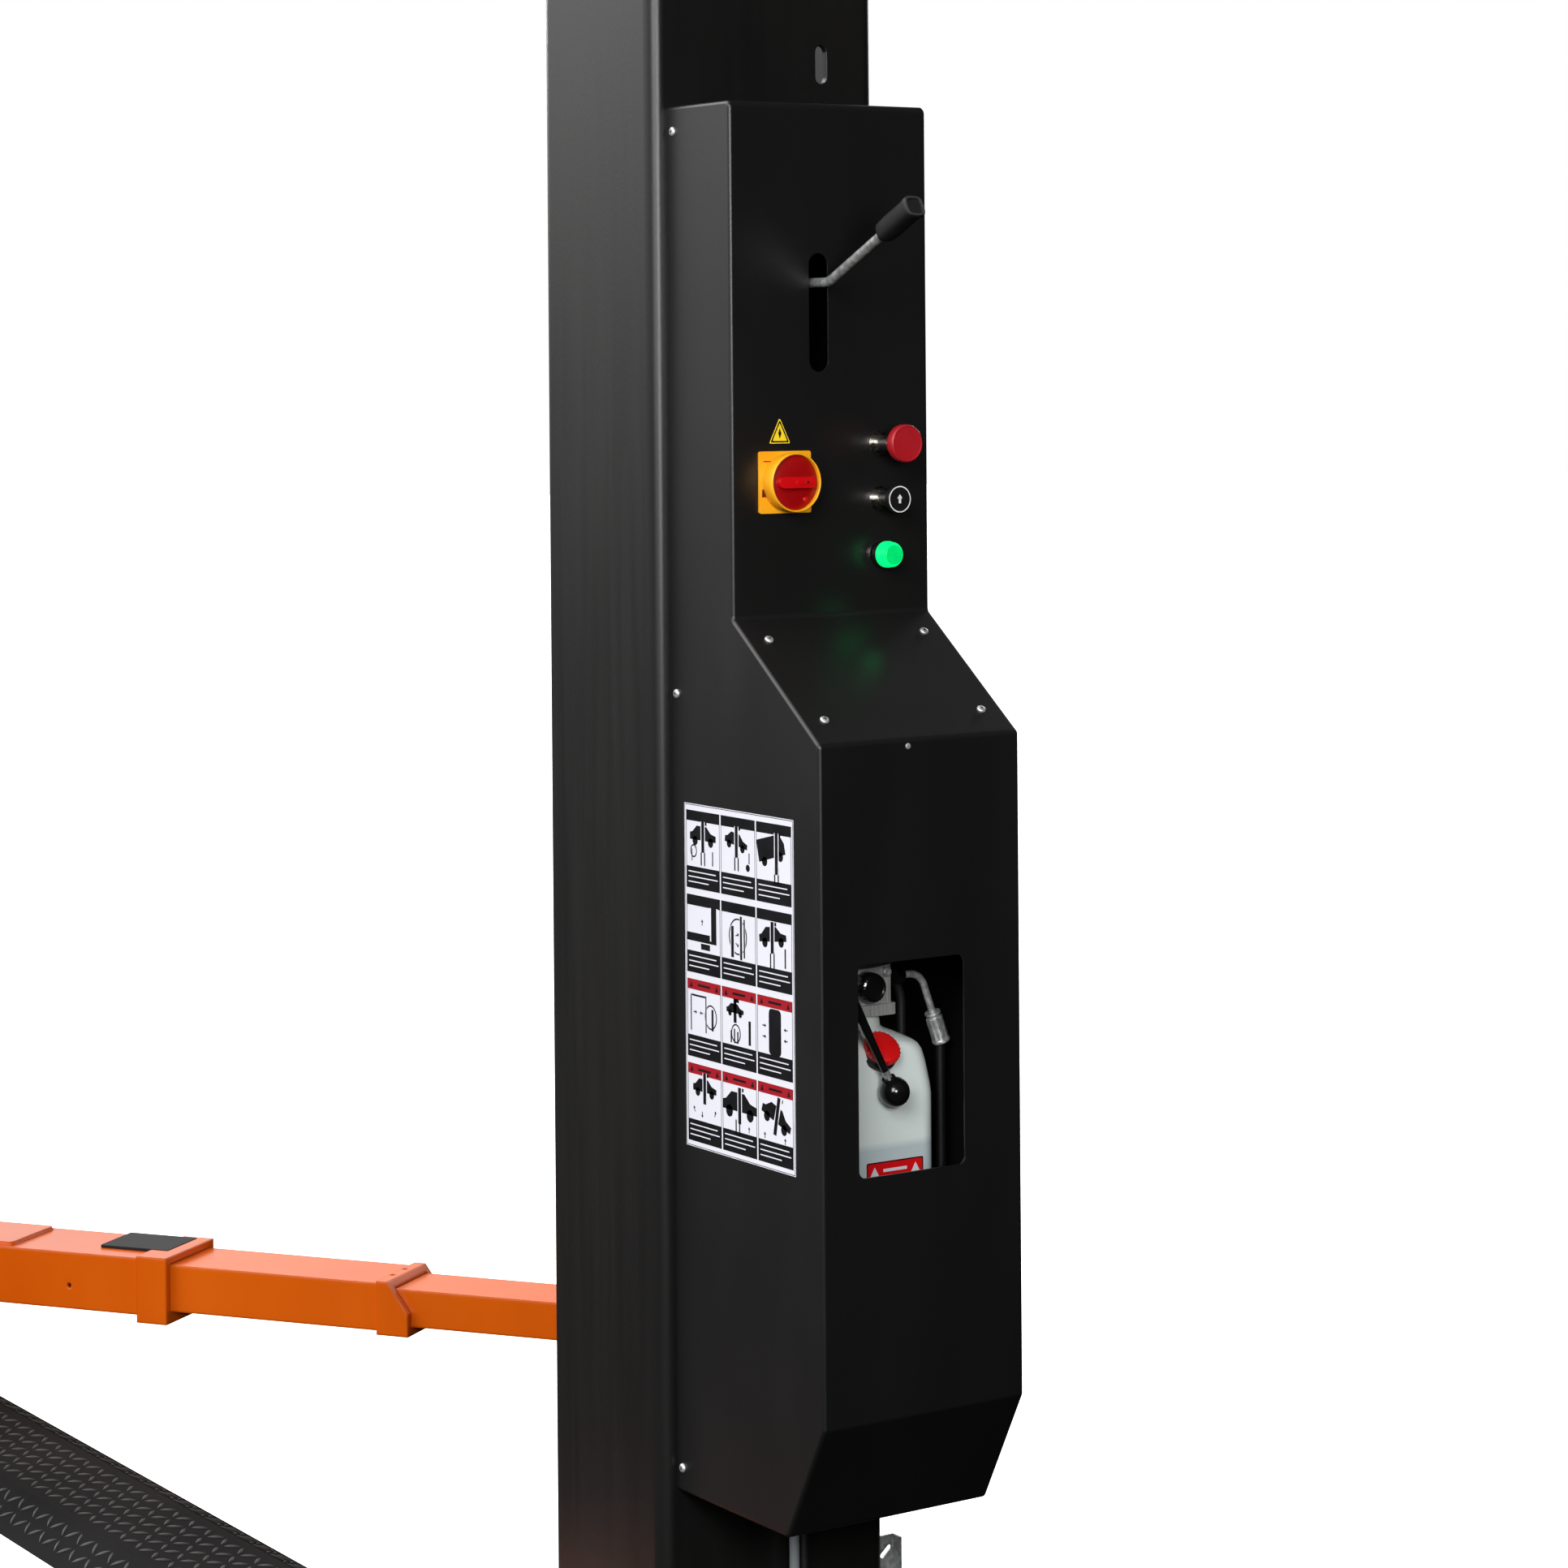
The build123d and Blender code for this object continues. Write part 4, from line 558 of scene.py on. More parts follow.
def isolator():
    """Amber plate with its small window, and the red dial in an amber rim with a bar across it. The dial's
    darker red is painted shade under the bar; the bar's brighter red is painted light.
    """
    low, high, face = on_node("isolator_plate", panel)
    side = high[1] - low[1]
    plate = slab(face, eased(rectangle(0, 0, side, side), 2.5), 0, 3.0)
    window = slab(face, rectangle(-24.5, -11, 10, 8), 2.6, 3.9)
    keeper = slab(face, eased(rectangle(-23, 22, 9, 1.2), 0.5), 2.9, 3.3)
    piece("isolator_plate_amber", [plate, (*window, 1), (*keeper, 2)], [AMBER, DARK_RED, FILM_RED],
          "lift_frame", ["isolator_plate"], bevel=0.5)
    rim = [(25.0, 3.3), (28.6, 3.6), (30.0, 8.0), (31.0, 20.0), (31.0, 23.8), (30.5, 24.6), (29.6, 24.6),
           (29.0, 23.8), (29.0, 17.0), (25.0, 17.0)]
    dial = [(8.0, 3.4), (28.4, 15.0), (28.7, 20.0), (27.6, 20.6), (12.0, 20.6), (0.5, 20.6)]
    bar = slab(face, capsule(46, 11.5), 19.6, 26.6)
    nose = slab(face, capsule(20, 5) + (8, 0), 26.2, 27.4)
    hasp = turned(moved(face, 13, -18, 20.2), [(2.8, 0), (2.8, 1.6), (1.8, 2.2)], 20)
    # The lock hole in the nose is not cut: a flat dark red disc stands for it, as painted shade of the hole.
    hole_painted_shade = turned(moved(face, 12, 0, 27.3), [(1.8, 0), (1.8, 0.3)], 20)
    rim, dial = turned(face, rim, 72, closed=True), turned(face, dial, 64)
    piece("isolator_dial", [(*rim, 1), (*dial, 2), bar, nose, hasp, (*hole_painted_shade, 3)],
          [SWITCH_RED, AMBER, DIAL_RED_PAINTED_SHADE, DARK_RED], "isolator_handle", ["isolator_knob"],
          bevel=0.8)


def stop_button():
    """Mushroom head: a cone under a flat round head with an eased rim, on its stem."""
    low, high, face = on_node("estop_button", panel)
    top = high[0] - panel
    under_top = [(12.6, 22), (13.2, 21), (18.4, 11.4), (19.4, 10.8), (20, 9.6), (20, 2.4), (19.4, 0.8),
                 (18.6, 0.2), (17.9, 0.3), (17.6, 1.0), (8, 0.8), (0.5, 0.7)]
    profile = [(6, low[0] - panel), (6, top - 22), *[(radius, top - depth) for radius, depth in under_top]]
    piece("stop_mushroom", [turned(face, profile, 64)], [STOP_RED], "stop_plunger",
          ["estop_button"], smooth=50)


def raise_button():
    """Black disc with a white ring round its rim and a white arrow."""
    low, high, face = on_node("up_button", panel)
    top = high[0] - panel
    radius = (high[1] - low[1]) / 2
    disc = turned(face, [(6, low[0] - panel), (6, top - 8), (radius - 0.6, top - 8), (radius, top - 7.2),
                         (radius, top - 0.8), (radius - 0.5, top - 0.2), (0.5, top - 0.2)], 64)
    rim = ring(face, radius - 1.7, radius - 0.5, top - 0.4, top)
    shaft, head = rectangle(0, -1.6, 3.0, 5.4), [(-3.2, 0.8), (3.2, 0.8), (0, 5.4)]
    arrow = [(*slab(face, outline, top - 0.3, top), 1) for outline in (shaft, head)]
    piece("raise_button_disc", [disc, (*rim, 1), *arrow], [BLACK_ABS, WHITE_ABS], "up_plunger",
          ["up_button"])


def pilot_lamp():
    """Green domed lens with a ridge round its foot."""
    low, high, face = on_node("lamp_lens", corners("lamp_lens")[0][0])
    deep = high[0] - low[0]
    radius = (high[1] - low[1]) / 2
    foot = [(radius - 4, 0), (radius - 0.5, 0.3), (radius - 0.5, 8.0), (radius - 4, 8.4)]
    collar = [(radius - 4, 7.5), (radius, 8.0), (radius, 12.5), (radius - 1.6, 13.2)]
    dome = [(radius - 1.8, 13.0), (radius - 1.8, 14.2), (radius - 0.8, 15.0), (radius - 0.8, deep - 0.5),
            (radius - 1.6, deep + 1.2), (radius - 4, deep + 2.2), (0.5, deep + 2.6)]
    core = [(radius - 3.6, deep + 2.0), (radius - 3.6, deep + 2.6), (radius - 4.2, deep + 3.0),
            (0.5, deep + 3.2)]
    shapes = [(*turned(face, foot), 1), turned(face, collar + dome, 56), (*turned(face, core), 2)]
    piece("pilot_lens", shapes, [LAMP_GREEN, BLACK_ABS, LAMP_CORE], "lift_frame",
          ["lamp_lens"], smooth=30)


def release_lever():
    """Zinc rod from its hub through a 30 mm bend, and a vinyl grip with a square, open end."""
    low, high = corners("release_lever")
    hub_radius, bend_radius = 10.0, 30.0
    rise = radians(25.4)
    pivot = np.array([web + 30.0, (low[1] + high[1]) / 2, low[2] + hub_radius])
    along = np.array([cos(rise), 0, sin(rise)])
    bend = pivot + (110.0, 0, 0)
    grip_start = bend + along * 100.0 / cos(rise)
    turn = np.linspace(0, rise, 9)
    ahead = -bend_radius * np.tan(rise / 2) + bend_radius * np.sin(turn)
    arc = bend + np.stack([ahead, 0 * turn, bend_radius * (1 - np.cos(turn))], axis=1)
    rod = tube(np.concatenate([[pivot + (8, 0, 0)], arc, [grip_start + along * 40.0]]), 5.0, (0, 1, 0), 24)
    hub_face = facing(pivot, (0, -1, 0))
    hub = turned(hub_face, [(4, -7), (9.4, -7), (10, -6.4), (10, 6.4), (9.4, 7), (4, 7)], 40)
    pin = turned(hub_face, [(3.4, -13), (4, -12.4), (4, 12.4), (3.4, 13)], 24)
    piece("release_rod", [rod, hub, pin], [ZINC], "release_handle", ["release_lever"])
    release_grip(facing(grip_start, along))


def release_grip(sleeve):
    """The grip's section at angle t is size * (0.35 + 0.65 * squareness), where squareness is
    (|cos t|^5 + |sin t|^5)^(-1/5). Fine rings in height run as sin(1.6 * height)."""
    t = angles(48)
    square = 0.35 + 0.65 * (np.abs(np.cos(t)) ** 5 + np.abs(np.sin(t)) ** 5) ** (-1 / 5)
    height = np.array([0, 0.8, 3, 8, 20, 50, 58, 61, 62, 62, 60.5, 60.5])
    size = np.array([8.0, 9.4, 10.4, 10.8, 11.2, 11.4, 11.9, 11.9, 11.3, 8.6, 8.0, 2.0])
    ribs = 0.35 * np.sin(height * 1.6) * ((height > 8) & (height < 52))
    grip = carried(sleeve, (size + ribs)[:, None] * square, height)
    # A thin ring of barrel grey on the grip's open end: painted highlight where the rubber rim catches the
    # light.
    edge = np.array([8.9, 11.0, 11.0, 8.9])[:, None] * square
    painted_highlight_rim = carried(sleeve, edge, (62.0, 62.0, 62.35, 62.35), closed=True)
    piece("release_grip", [grip, (*painted_highlight_rim, 1)], [GRIP_RUBBER, BARREL_GREY], "release_handle",
          smooth=50)


def hazard_plate():
    """Yellow triangle with a black border and a plain black lozenge."""
    low, high = corners("hazard_label")
    face = facing((panel, (low[1] + high[1]) / 2, low[2]), (1, 0, 0))
    half = (high[1] - low[1]) / 2
    outline = np.array([(-half, 0), (half, 0), (0, high[2] - low[2])])
    heart = outline.mean(axis=0)
    film = slab(face, eased(outline, 1.2), 0, 0.4)
    outer = eased(heart + 0.88 * (outline - heart), 0.8)
    inner = eased(heart + 0.70 * (outline - heart), 0.6)
    lozenge = slab(face, [(-1.9, 10.5), (0, 5), (1.9, 10.5), (0, 16)], 0.35, 0.5)
    piece("hazard_film", [film, (*border(face, outer, inner, 0.35, 0.5), 1), (*lozenge, 1)],
          [FILM_YELLOW, FILM_BLACK], "lift_frame", ["hazard_label"])


# ---- picture guide
def car(a, b, size, tilt=0.0, van=False):
    """Side outline of a plain car or van, size across, with two wheels; returns flat outlines."""
    roof = [(0.5, 0.13), (0.3, 0.17), (0.14, 0.3), (-0.24, 0.3), (-0.4, 0.17), (-0.5, 0.15)]
    if van:
        roof = [(0.5, 0.22), (0.36, 0.44), (-0.5, 0.46)]
    parts = [[(-0.5, 0.0), (0.5, 0.0), *roof], circle(-0.3, -0.02, 0.1, 16), circle(0.3, -0.02, 0.1, 16)]
    return [turned_outline(size * np.asarray(part), tilt, a, b) for part in parts]


def bars(*rows):
    """Rectangles, each by its middle, width and height."""
    return [rectangle(*row) for row in rows]


def post(a, b, tall, tilt=0.0):
    """A lift's column with its head."""
    parts = bars((0, 0, 4.4, tall), (2.0, tall / 2 - 1.5, 8.0, 3.0))
    return [turned_outline(part, tilt, a, b) for part in parts]


def legs(a, b):
    """Two thin lines under a column."""
    return bars((a - 2.6, b, 1.8, 14), (a + 2.6, b, 1.8, 14))


def pointers(*rows):
    """Small arrows, each by its place and the angle at which it points."""
    arrow = [(-2.4, -0.5), (0.6, -0.5), (0.6, -1.7), (3, 0), (0.6, 1.7), (0.6, 0.5), (-2.4, 0.5)]
    return [turned_outline(arrow, angle, a, b) for a, b, angle in rows]


def guide_pictures():
    """Flat outlines of the twelve pictures, row by row from the top left."""
    return [
        car(0, 4, 40) + post(0, 7, 26) + legs(0, -10) + bars((15, -10, 1.6, 12), (-17, -9, 1.2, 10)),
        car(-3, 5, 34, -8) + post(-2, 8, 26) + legs(-2, -9) + [circle(15, -12, 3.0, 20)]
        + bars((17, -4, 1.4, 9)),
        car(-2, 0, 40, 14, van=True) + post(4, 4, 34) + legs(4, -14),
        bars((-3, -7, 46, 7), (16, 6, 8, 28)) + pointers((-2, 6, 90)) + bars((3, -14, 14, 5)),
        bars((4, 0, 3, 36), (9, 0, 2, 32), (-9, -4, 4, 26)) + pointers((-2, 2, 20), (-2, -6, -30)),
        car(-2, 3, 40, 6) + post(-3, 6, 26) + legs(-3, -12) + bars((16, -9, 2, 16)),
        bars((-20, 0, 1.6, 30), (-8, 15, 24, 1.6), (3, 0, 1.6, 30), (13, -3, 3, 18))
        + pointers((-14, 1, 0), (-4, 1, 180)),
        car(-6, 8, 26) + post(-6, 10, 20)
        + bars((-12, -12, 2, 10), (-7, -11, 2, 12), (-2, -12, 2, 10), (16, -6, 3.4, 20)),
        [eased(rectangle(0, 0, 18, 38), 4)]
        + pointers((-16, 4, 0), (-16, -5, 0), (16, 4, 180), (16, -5, 180)),
        car(0, 6, 36) + post(0, 9, 26) + pointers((-16, -10, 110), (16, -10, 70), (-4, -13, -90)),
        car(0, -2, 52) + post(0, 3, 30) + legs(-3, -16) + pointers((14, -15, 90)),
        car(0, -2, 44, -18) + post(2, 3, 32, -12) + pointers((-16, -15, 90), (14, -16, 90)),
    ]


GUIDE_LOOPS = {0: (-18, -2, 7), 4: (-1, 6, 19), 6: (13, 4, 13), 7: (-6, -6, 10)}   # a, b, radius
PAPER, BLACK, RED = 0, 1, 2                 # numbers of the guide's materials
INK = (0.28, 0.36)                          # ink on the film, from and to
OVERPRINT = (0.34, 0.4)                     # marks on top of ink
FIRST_RED = 6


def guide_cell(face, number, picture, a, b, cell):
    """One cell about (a, b): header bar, box with light lines, frame, picture and in some a loop. Red
    headers carry two triangles and a bar. Columns in the picture get a light halo."""
    red = number >= FIRST_RED
    outer, inner = rectangle(a, b - 0.5, cell + 1.6, 82), rectangle(a, b - 0.5, cell, 80.4)
    ink = [(*slab(face, rectangle(a, b + 35, cell, 11), *INK), RED if red else BLACK),
           (*slab(face, rectangle(a, b - 30, cell, 23), *INK), BLACK),
           (*border(face, outer, inner, 0.28, 0.34), BLACK)]
    for line, length in enumerate((0.84, 0.9, 0.62)):
        row = rectangle(a - (0.9 - length) * cell / 2, b - 24 - 5.4 * line, length * cell, 1.2)
        ink.append((*slab(face, row, *OVERPRINT), PAPER))
    if red:
        for side in (-1, 1):
            mark = np.array([(-3, -3.2), (3, -3.2), (0, 3)]) + (a + side * (cell / 2 - 7), b + 35)
            ink.append((*slab(face, mark, *OVERPRINT), BLACK))
        ink.append((*slab(face, rectangle(a, b + 35, 24, 2.4), *OVERPRINT), BLACK))
    for outline in picture:
        outline = np.asarray(outline, float)
        middle = outline.mean(axis=0)
        is_post = len(outline) == 4 and np.ptp(outline[:, 1]) > 20
        if is_post:
            halo = middle + (outline - middle) * (1.5, 1.0)
            ink.append((*slab(face, halo * 1.25 + (a, b + 5), 0.34, 0.38), PAPER))
        ink.append((*slab(face, outline * 1.25 + (a, b + 5), 0.28, 0.42 if is_post else 0.36), BLACK))
    if number in GUIDE_LOOPS:
        da, db, radius = GUIDE_LOOPS[number]
        outer = circle(a + da, b + db, radius, 40, 0.9)
        inner = circle(a + da, b + db, radius - 1.6, 40, 0.88)
        ink.append((*border(face, outer, inner, 0.28, 0.37), BLACK))
    return ink


def picture_guide():
    """White film with three by four framed cells: a header bar, a plain picture and a black box with
    light lines. The headers of the lower two rows are red."""
    low, high = corners("instruction_decal")
    face = facing(((low[0] + high[0]) / 2, high[1], (low[2] + high[2]) / 2), (0, -1, 0))
    wide, tall = high[0] - low[0], high[2] - low[2]
    film = slab(face, rectangle(0, 0, wide, tall), 0, 0.3)
    rim = border(face, rectangle(0, 0, wide - 1.6, tall - 1.6), rectangle(0, 0, wide - 3, tall - 3), *INK)
    step_a, step_b = (wide - 5) / 3, (tall - 6) / 4
    ink = [(*rim, BLACK)]
    for number, picture in enumerate(guide_pictures()):
        a, b = (number % 3 - 1) * step_a, (1.5 - number // 3) * step_b
        ink += guide_cell(face, number, picture, a, b, step_a - 4.0)
    piece("picture_guide_film", [film, *ink], [FILM_WHITE, FILM_BLACK, FILM_RED], "lift_frame",
          ["instruction_decal"])


# ---- screws
def cover_screws():
    """Pan-head screws with a cross recess, and the small rivet. Each recess is two crossed black bars on the
    head: painted shade.
    """
    cover_low, cover_high = corners("control_cover")
    fold_high, fold_low = 1424.0, 1305.0
    depth, drop = front - panel, fold_high - fold_low
    spots = []
    for z in (1936.0, 1340.0, 518.0):
        for side, y in ((-1, cover_low[1]), (1, cover_high[1])):
            spots.append(facing((web + 12.0, y, z), (0, side, 0)))
    for share in (0.175, 0.815):
        for y in (-99.0, 99.0):
            spots.append(facing((panel + share * depth, y, fold_high - share * drop), (drop, 0, depth)))
    head = [(0.5, 0.0), (4.9, 0.0), (5.0, 0.5), (4.8, 1.3), (4.1, 2.1), (2.8, 2.5), (0.5, 2.6)]
    shapes = []
    for number, spot in enumerate(spots):
        shapes.append(turned(spot, head, 28))
        # Each cross recess is painted: two black bars on the head stand for the shade inside it.
        for angle in (20 + 31 * number, 110 + 31 * number):
            shapes.append((*slab(spot, turned_outline(rectangle(0, 0, 4.6, 0.9), angle), 2.3, 2.64), 1))
    rivet = facing((front, -16.0, 1298.0), (1, 0, 0))
    shapes.append(turned(rivet, [(0.5, 0), (3.2, 0), (3.0, 0.6), (2.0, 1.0), (0.5, 1.1)], 24))
    piece("cover_screw_heads", shapes, [SCREW_ZINC, BLACK_ABS], "lift_frame", ["cover_screws"])


# ---- power unit behind the window
def rounded_ring(half_x, half_y, radius, steps=10):
    """Outline of a rectangle with round corners, as steps points in each corner."""
    t = np.linspace(0, pi / 2, steps)
    quarter = np.stack([np.cos(t), np.sin(t)], axis=1) * radius
    turns = [np.array([(cos(q), sin(q)), (-sin(q), cos(q))]) for q in (0, pi / 2, pi, 3 * pi / 2)]
    middles = np.array([(1, 1), (-1, 1), (-1, -1), (1, -1)]) * (half_x - radius, half_y - radius)
    return np.concatenate([quarter @ turn + middle for turn, middle in zip(turns, middles)])


def stacked(levels, x, y):
    """Rounded rectangles about (x, y) stacked in height. A level is (z, half x, half y, corner radius)."""
    rings = []
    for z, half_x, half_y, radius in levels:
        outline = rounded_ring(half_x, half_y, radius) + (x, y)
        rings.append(np.column_stack([outline, np.full(len(outline), z)]))
    return skin(np.stack(rings))


def oil_tank():
    """Blow-moulded tank: rounded sections stacked in height, drawn in over the shoulder to a round neck,
    with a seam round its waist."""
    high = corners("oil_tank")[1]
    x, y = unit_x, -13.0
    levels = [(700.0, 56, 81, 20), (703.0, 62, 87, 22), (712.0, 65, 90, 22), (922.0, 65, 90, 22),
              (932.0, 64.5, 89, 22), (956.0, 62.5, 85, 23), (968.0, 61, 82.5, 25), (974.0, 59.5, 79.5, 27),
              (978.0, 57, 75, 30), (981.0, 54, 70, 34), (985.0, 51.5, 63, 42), (989.0, 49.4, 54, 47),
              (993.0, 48.2, 49.6, 48), (high[2], 47.8, 47.8, 47.7)]
    seam = [(822.0, 65.3, 90.3, 22), (823.0, 65.8, 90.8, 22), (824.4, 65.8, 90.8, 22),
            (825.4, 65.3, 90.3, 22)]
    lean = facing((x + 49.0, 5.0, 962.0), (1, 0, 1))
    boss = turned(lean, [(20.5, -6.0), (20.0, 0.0), (19.0, 3.0), (18.0, 4.0)], 40)
    piece("oil_tank_shell", [stacked(levels, x, y), stacked(seam, x, y), boss], [POLYETHYLENE], "lift_frame",
          ["oil_tank"], smooth=60)
    filler(facing((x + 51.0, 5.0, 964.0), (1, 0, 1)))
    tank_band(facing((x + 65.0, 14.0, 843.0), (1, 0, 0)))


def filler(mouth):
    """Black collar and the red cap with 24 grips, about the tank's mouth."""
    neck = [(15.0, 4.0), (19.6, 4.0), (20.0, 5.0), (20.0, 8.0), (18.2, 8.8), (18.2, 14.0), (15.0, 14.0)]
    piece("filler_collar", [turned(mouth, neck, 48)], [BLACK_ABS], "lift_frame")
    top = [(14.0, 13.8), (19.0, 13.8), (19.6, 14.6), (19.6, 19.6), (18.6, 21.4), (16.6, 22.2), (0.5, 22.5)]
    t = angles(24)
    grip = turned(ROW, [(0.9, 14.8), (0.9, 20.6)], 8)
    origins = put(mouth, 19.4 * np.cos(t), 19.4 * np.sin(t), 0 * t)
    grips = copies(grip, origins, np.broadcast_to(np.stack(mouth[1:]), (24, 3, 3)))
    piece("filler_cap_red", [turned(mouth, top, 56), grips], [CAP_RED], "lift_frame",
          ["filler_cap"], smooth=45)


def tank_band(face):
    """Red band with a black border, two white triangles and two white bars."""
    outline = eased(rectangle(5, 0, 72, 32), 2.0)
    edge = border(face, outline, eased(rectangle(5, 0, 69.4, 29.4), 1.4), 0.45, 0.6)
    marks = [np.array([(-5.5, -4.6), (5.5, -4.6), (0, 5.2)]) + (5 + side * 26, 6) for side in (-1, 1)]
    marks += bars((5, 6.6, 30, 3.2), (5, -2.4, 24, 2.2))
    shapes = [slab(face, outline, -0.2, 0.5), (*edge, 1)]
    shapes += [(*slab(face, mark, 0.45, 0.65), 2) for mark in marks]
    piece("tank_band", shapes, [FILM_BRIGHT_RED, FILM_BLACK, FILM_WHITE], "lift_frame")


def pump_block():
    """Milled block with ports and cap screws on its flange, a round knob on its front and the boss of
    the lowering lever."""
    low_z, high_z = 1020.0, 1062.0
    half_x, half_y = 48.0, 46.0
    shapes = [
        slab(ROW, eased(rectangle(unit_x, unit_y, 2 * half_x, 2 * half_y), 3), low_z, high_z),
        slab(ROW, eased(rectangle(unit_x, unit_y, 2 * half_x + 8, 2 * half_y + 8), 5), low_z - 12, low_z),
    ]
    face = facing((unit_x + half_x, unit_y, low_z), (1, 0, 0))
    bolt = [(0.5, -2), (5, -2), (5, 4.4), (4.4, 5), (2.8, 5), (2.8, 3)]
    shapes += [(*turned(moved(face, a, 33.0), bolt, 24), 1) for a in (-38.0, 38.0)]
    knob = [(9, -1), (15, -1), (15.5, 3), (15.5, 15), (14.6, 18.4), (12, 20), (11.2, 18.6), (0.5, 18.2)]
    shapes.append((*turned(moved(face, 11.0, 20.0), knob, 72, wave=0.02), 2))
    boss = [(0.5, -1), (11, -1), (11, 18), (10, 19.5), (9, 30.5), (6, 32.5), (0.5, 32.5)]
    shapes.append(turned(facing((unit_x + half_x, valve_y, valve_z), (1, 0, 0)), boss, 32))
    side = facing((unit_x, unit_y + half_y, low_z), (0, 1, 0))
    plug = [(0.5, -2), (8, -2), (8, 3), (6.8, 4), (0.5, 4)]
    shapes += [(*turned(moved(side, a, 24.0), plug, 6), 1) for a in (20.0, -22.0)]
    piece("pump_block_milled", shapes, [ALUMINIUM, ZINC, BAR_ENAMEL], "lift_frame",
          ["pump_block"], bevel=0.8)


def lowering_lever():
    """Flat black bar from the valve to a phenolic ball, widest in the middle, with a threaded end."""
    lever_x, ball_radius = web + 219.0, 16
    pivot = np.array([lever_x, valve_y, valve_z])
    ball = np.array([lever_x, 6.0, 934.0])
    length = np.linalg.norm(ball - pivot)
    along = (ball - pivot) / length
    face = (pivot, along, np.cross((1, 0, 0), along), np.array([1.0, 0, 0]))
    eye = turned(face, [(4.6, -6), (8.4, -6), (9, -5), (9, 5), (8.4, 6), (4.6, 6)], 36)
    share = np.linspace(0, 1, 10)
    bar = tube(pivot + np.outer(6 + share * (length - 20), along), 5.4 - 1.8 * share, (1, 0, 0), 24)
    screw = turned(face, [(0.5, -20), (5, -20), (5, 4.6), (4.2, 5.4), (0.5, 5.4)], 28)
    stem = tube([pivot + along * (length - 26), pivot + along * (length - 2)], 4.2, (1, 0, 0), 20)
    half_turn = np.linspace(0.04, pi - 0.04, 32)
    sphere = [(ball_radius * sin(t), -ball_radius * cos(t)) for t in half_turn]
    knob = turned(facing(ball, along), sphere, 56)
    collar = turned(facing(ball - along * 18, along), [(4, 0), (7, 0), (7.6, 1), (7.6, 4), (4, 4)], 32)
    piece("lowering_bar", [eye, bar, (*screw, 1), (*stem, 1), (*knob, 2), collar],
          [BAR_ENAMEL, ZINC, PHENOLIC], "lowering_handle", ["lowering_lever"], smooth=40)


def outlet_elbow():
    """Hexagon adaptor, steel tube through a 20 mm bend of 70 degrees, and a ferrule crimped in flutes:
    over the crimp its radius is multiplied by 1 - 0.07 * sqrt(|cos 4t|)."""
    low = corners("outlet_elbow")[0]
    x, z = web + 165.0, 1044.0
    side = facing((x, 29.0, z), (0, 1, 0))
    hexagon = slab(side, circle(0, 0, 11.5, 6), 0, 12)
    nut = slab(side, circle(0, 0, 10.5, 6), 13, 24)
    thread = turned(side, [(7, 0), (7.6, 0.5), (7.6, 26), (6.6, 27)], 28)
    fall, bend, mouth_y = radians(70), 20, 106.0
    down = np.array([0, cos(fall), -sin(fall)])
    mouth = np.array([x, mouth_y, low[2]])
    bend_start = mouth_y - bend * sin(fall) - (z - bend * (1 - cos(fall)) - low[2]) / np.tan(fall)
    turn = np.linspace(0, fall, 14)
    arc = np.stack([x + 0 * turn, bend_start + bend * np.sin(turn), z - bend + bend * np.cos(turn)], axis=1)
    pipe = tube(np.concatenate([[(x, 50.0, z)], arc, [mouth - 30 * down]]), 3.9, (1, 0, 0), 20)
    length = 36.0
    height = np.array([0, 0.5, 3, 4, 6, 7, length - 5, length - 3.6, length - 1, length])
    size = np.array([5.5, 8.4, 8.8, 7.2, 7.2, 9.4, 9.4, 9.8, 9.8, 7.0])
    crimped = ((height > 6.5) & (height < length - 4))[:, None]
    flute = 1 - 0.07 * (np.abs(np.cos(4 * angles(64))) ** 0.5) * crimped
    ferrule = carried(facing(mouth - length * down, down, up=(1, 0, 0)), size[:, None] * flute, height)
    piece("outlet_fittings", [(*hexagon, 1), (*nut, 1), (*thread, 1), pipe, ferrule],
          [SCREW_ZINC, BLACK_OXIDE], "lift_frame", ["outlet_elbow"], bevel=0.4)


def motor():
    """Vertical motor: a ribbed stator, an end bell, a plain fan cowl and a terminal box."""
    low, high = corners("motor")
    x, y, z0, z1 = unit_x, unit_y, low[2], high[2]
    core = turned(moved(ROW, x, y), [(0.5, z0), (69, z0), (70, z0 + 2), (70, z0 + 12), (62, z0 + 15),
                                     (62, z1 - 60), (68, z1 - 60), (70, z1 - 57), (70, z1 - 10),
                                     (67, z1 - 3), (60, z1), (0.5, z1)], 72)
    fin = box_shape((60, -1.2, z0 + 14), (69, 1.2, z1 - 61))
    fins = copies(fin, (x, y, 0.0), round_z(36))
    terminal = box_shape((x - 40, y + 50, z0 + 60), (x + 40, y + 96, z0 + 136))
    lid = box_shape((x - 42, y + 96, z0 + 58), (x + 42, y + 100, z0 + 140))
    piece("motor_body", [core, fins, terminal, lid], [MOTOR_GREY], "lift_frame", ["motor"],
          bevel=1.0)


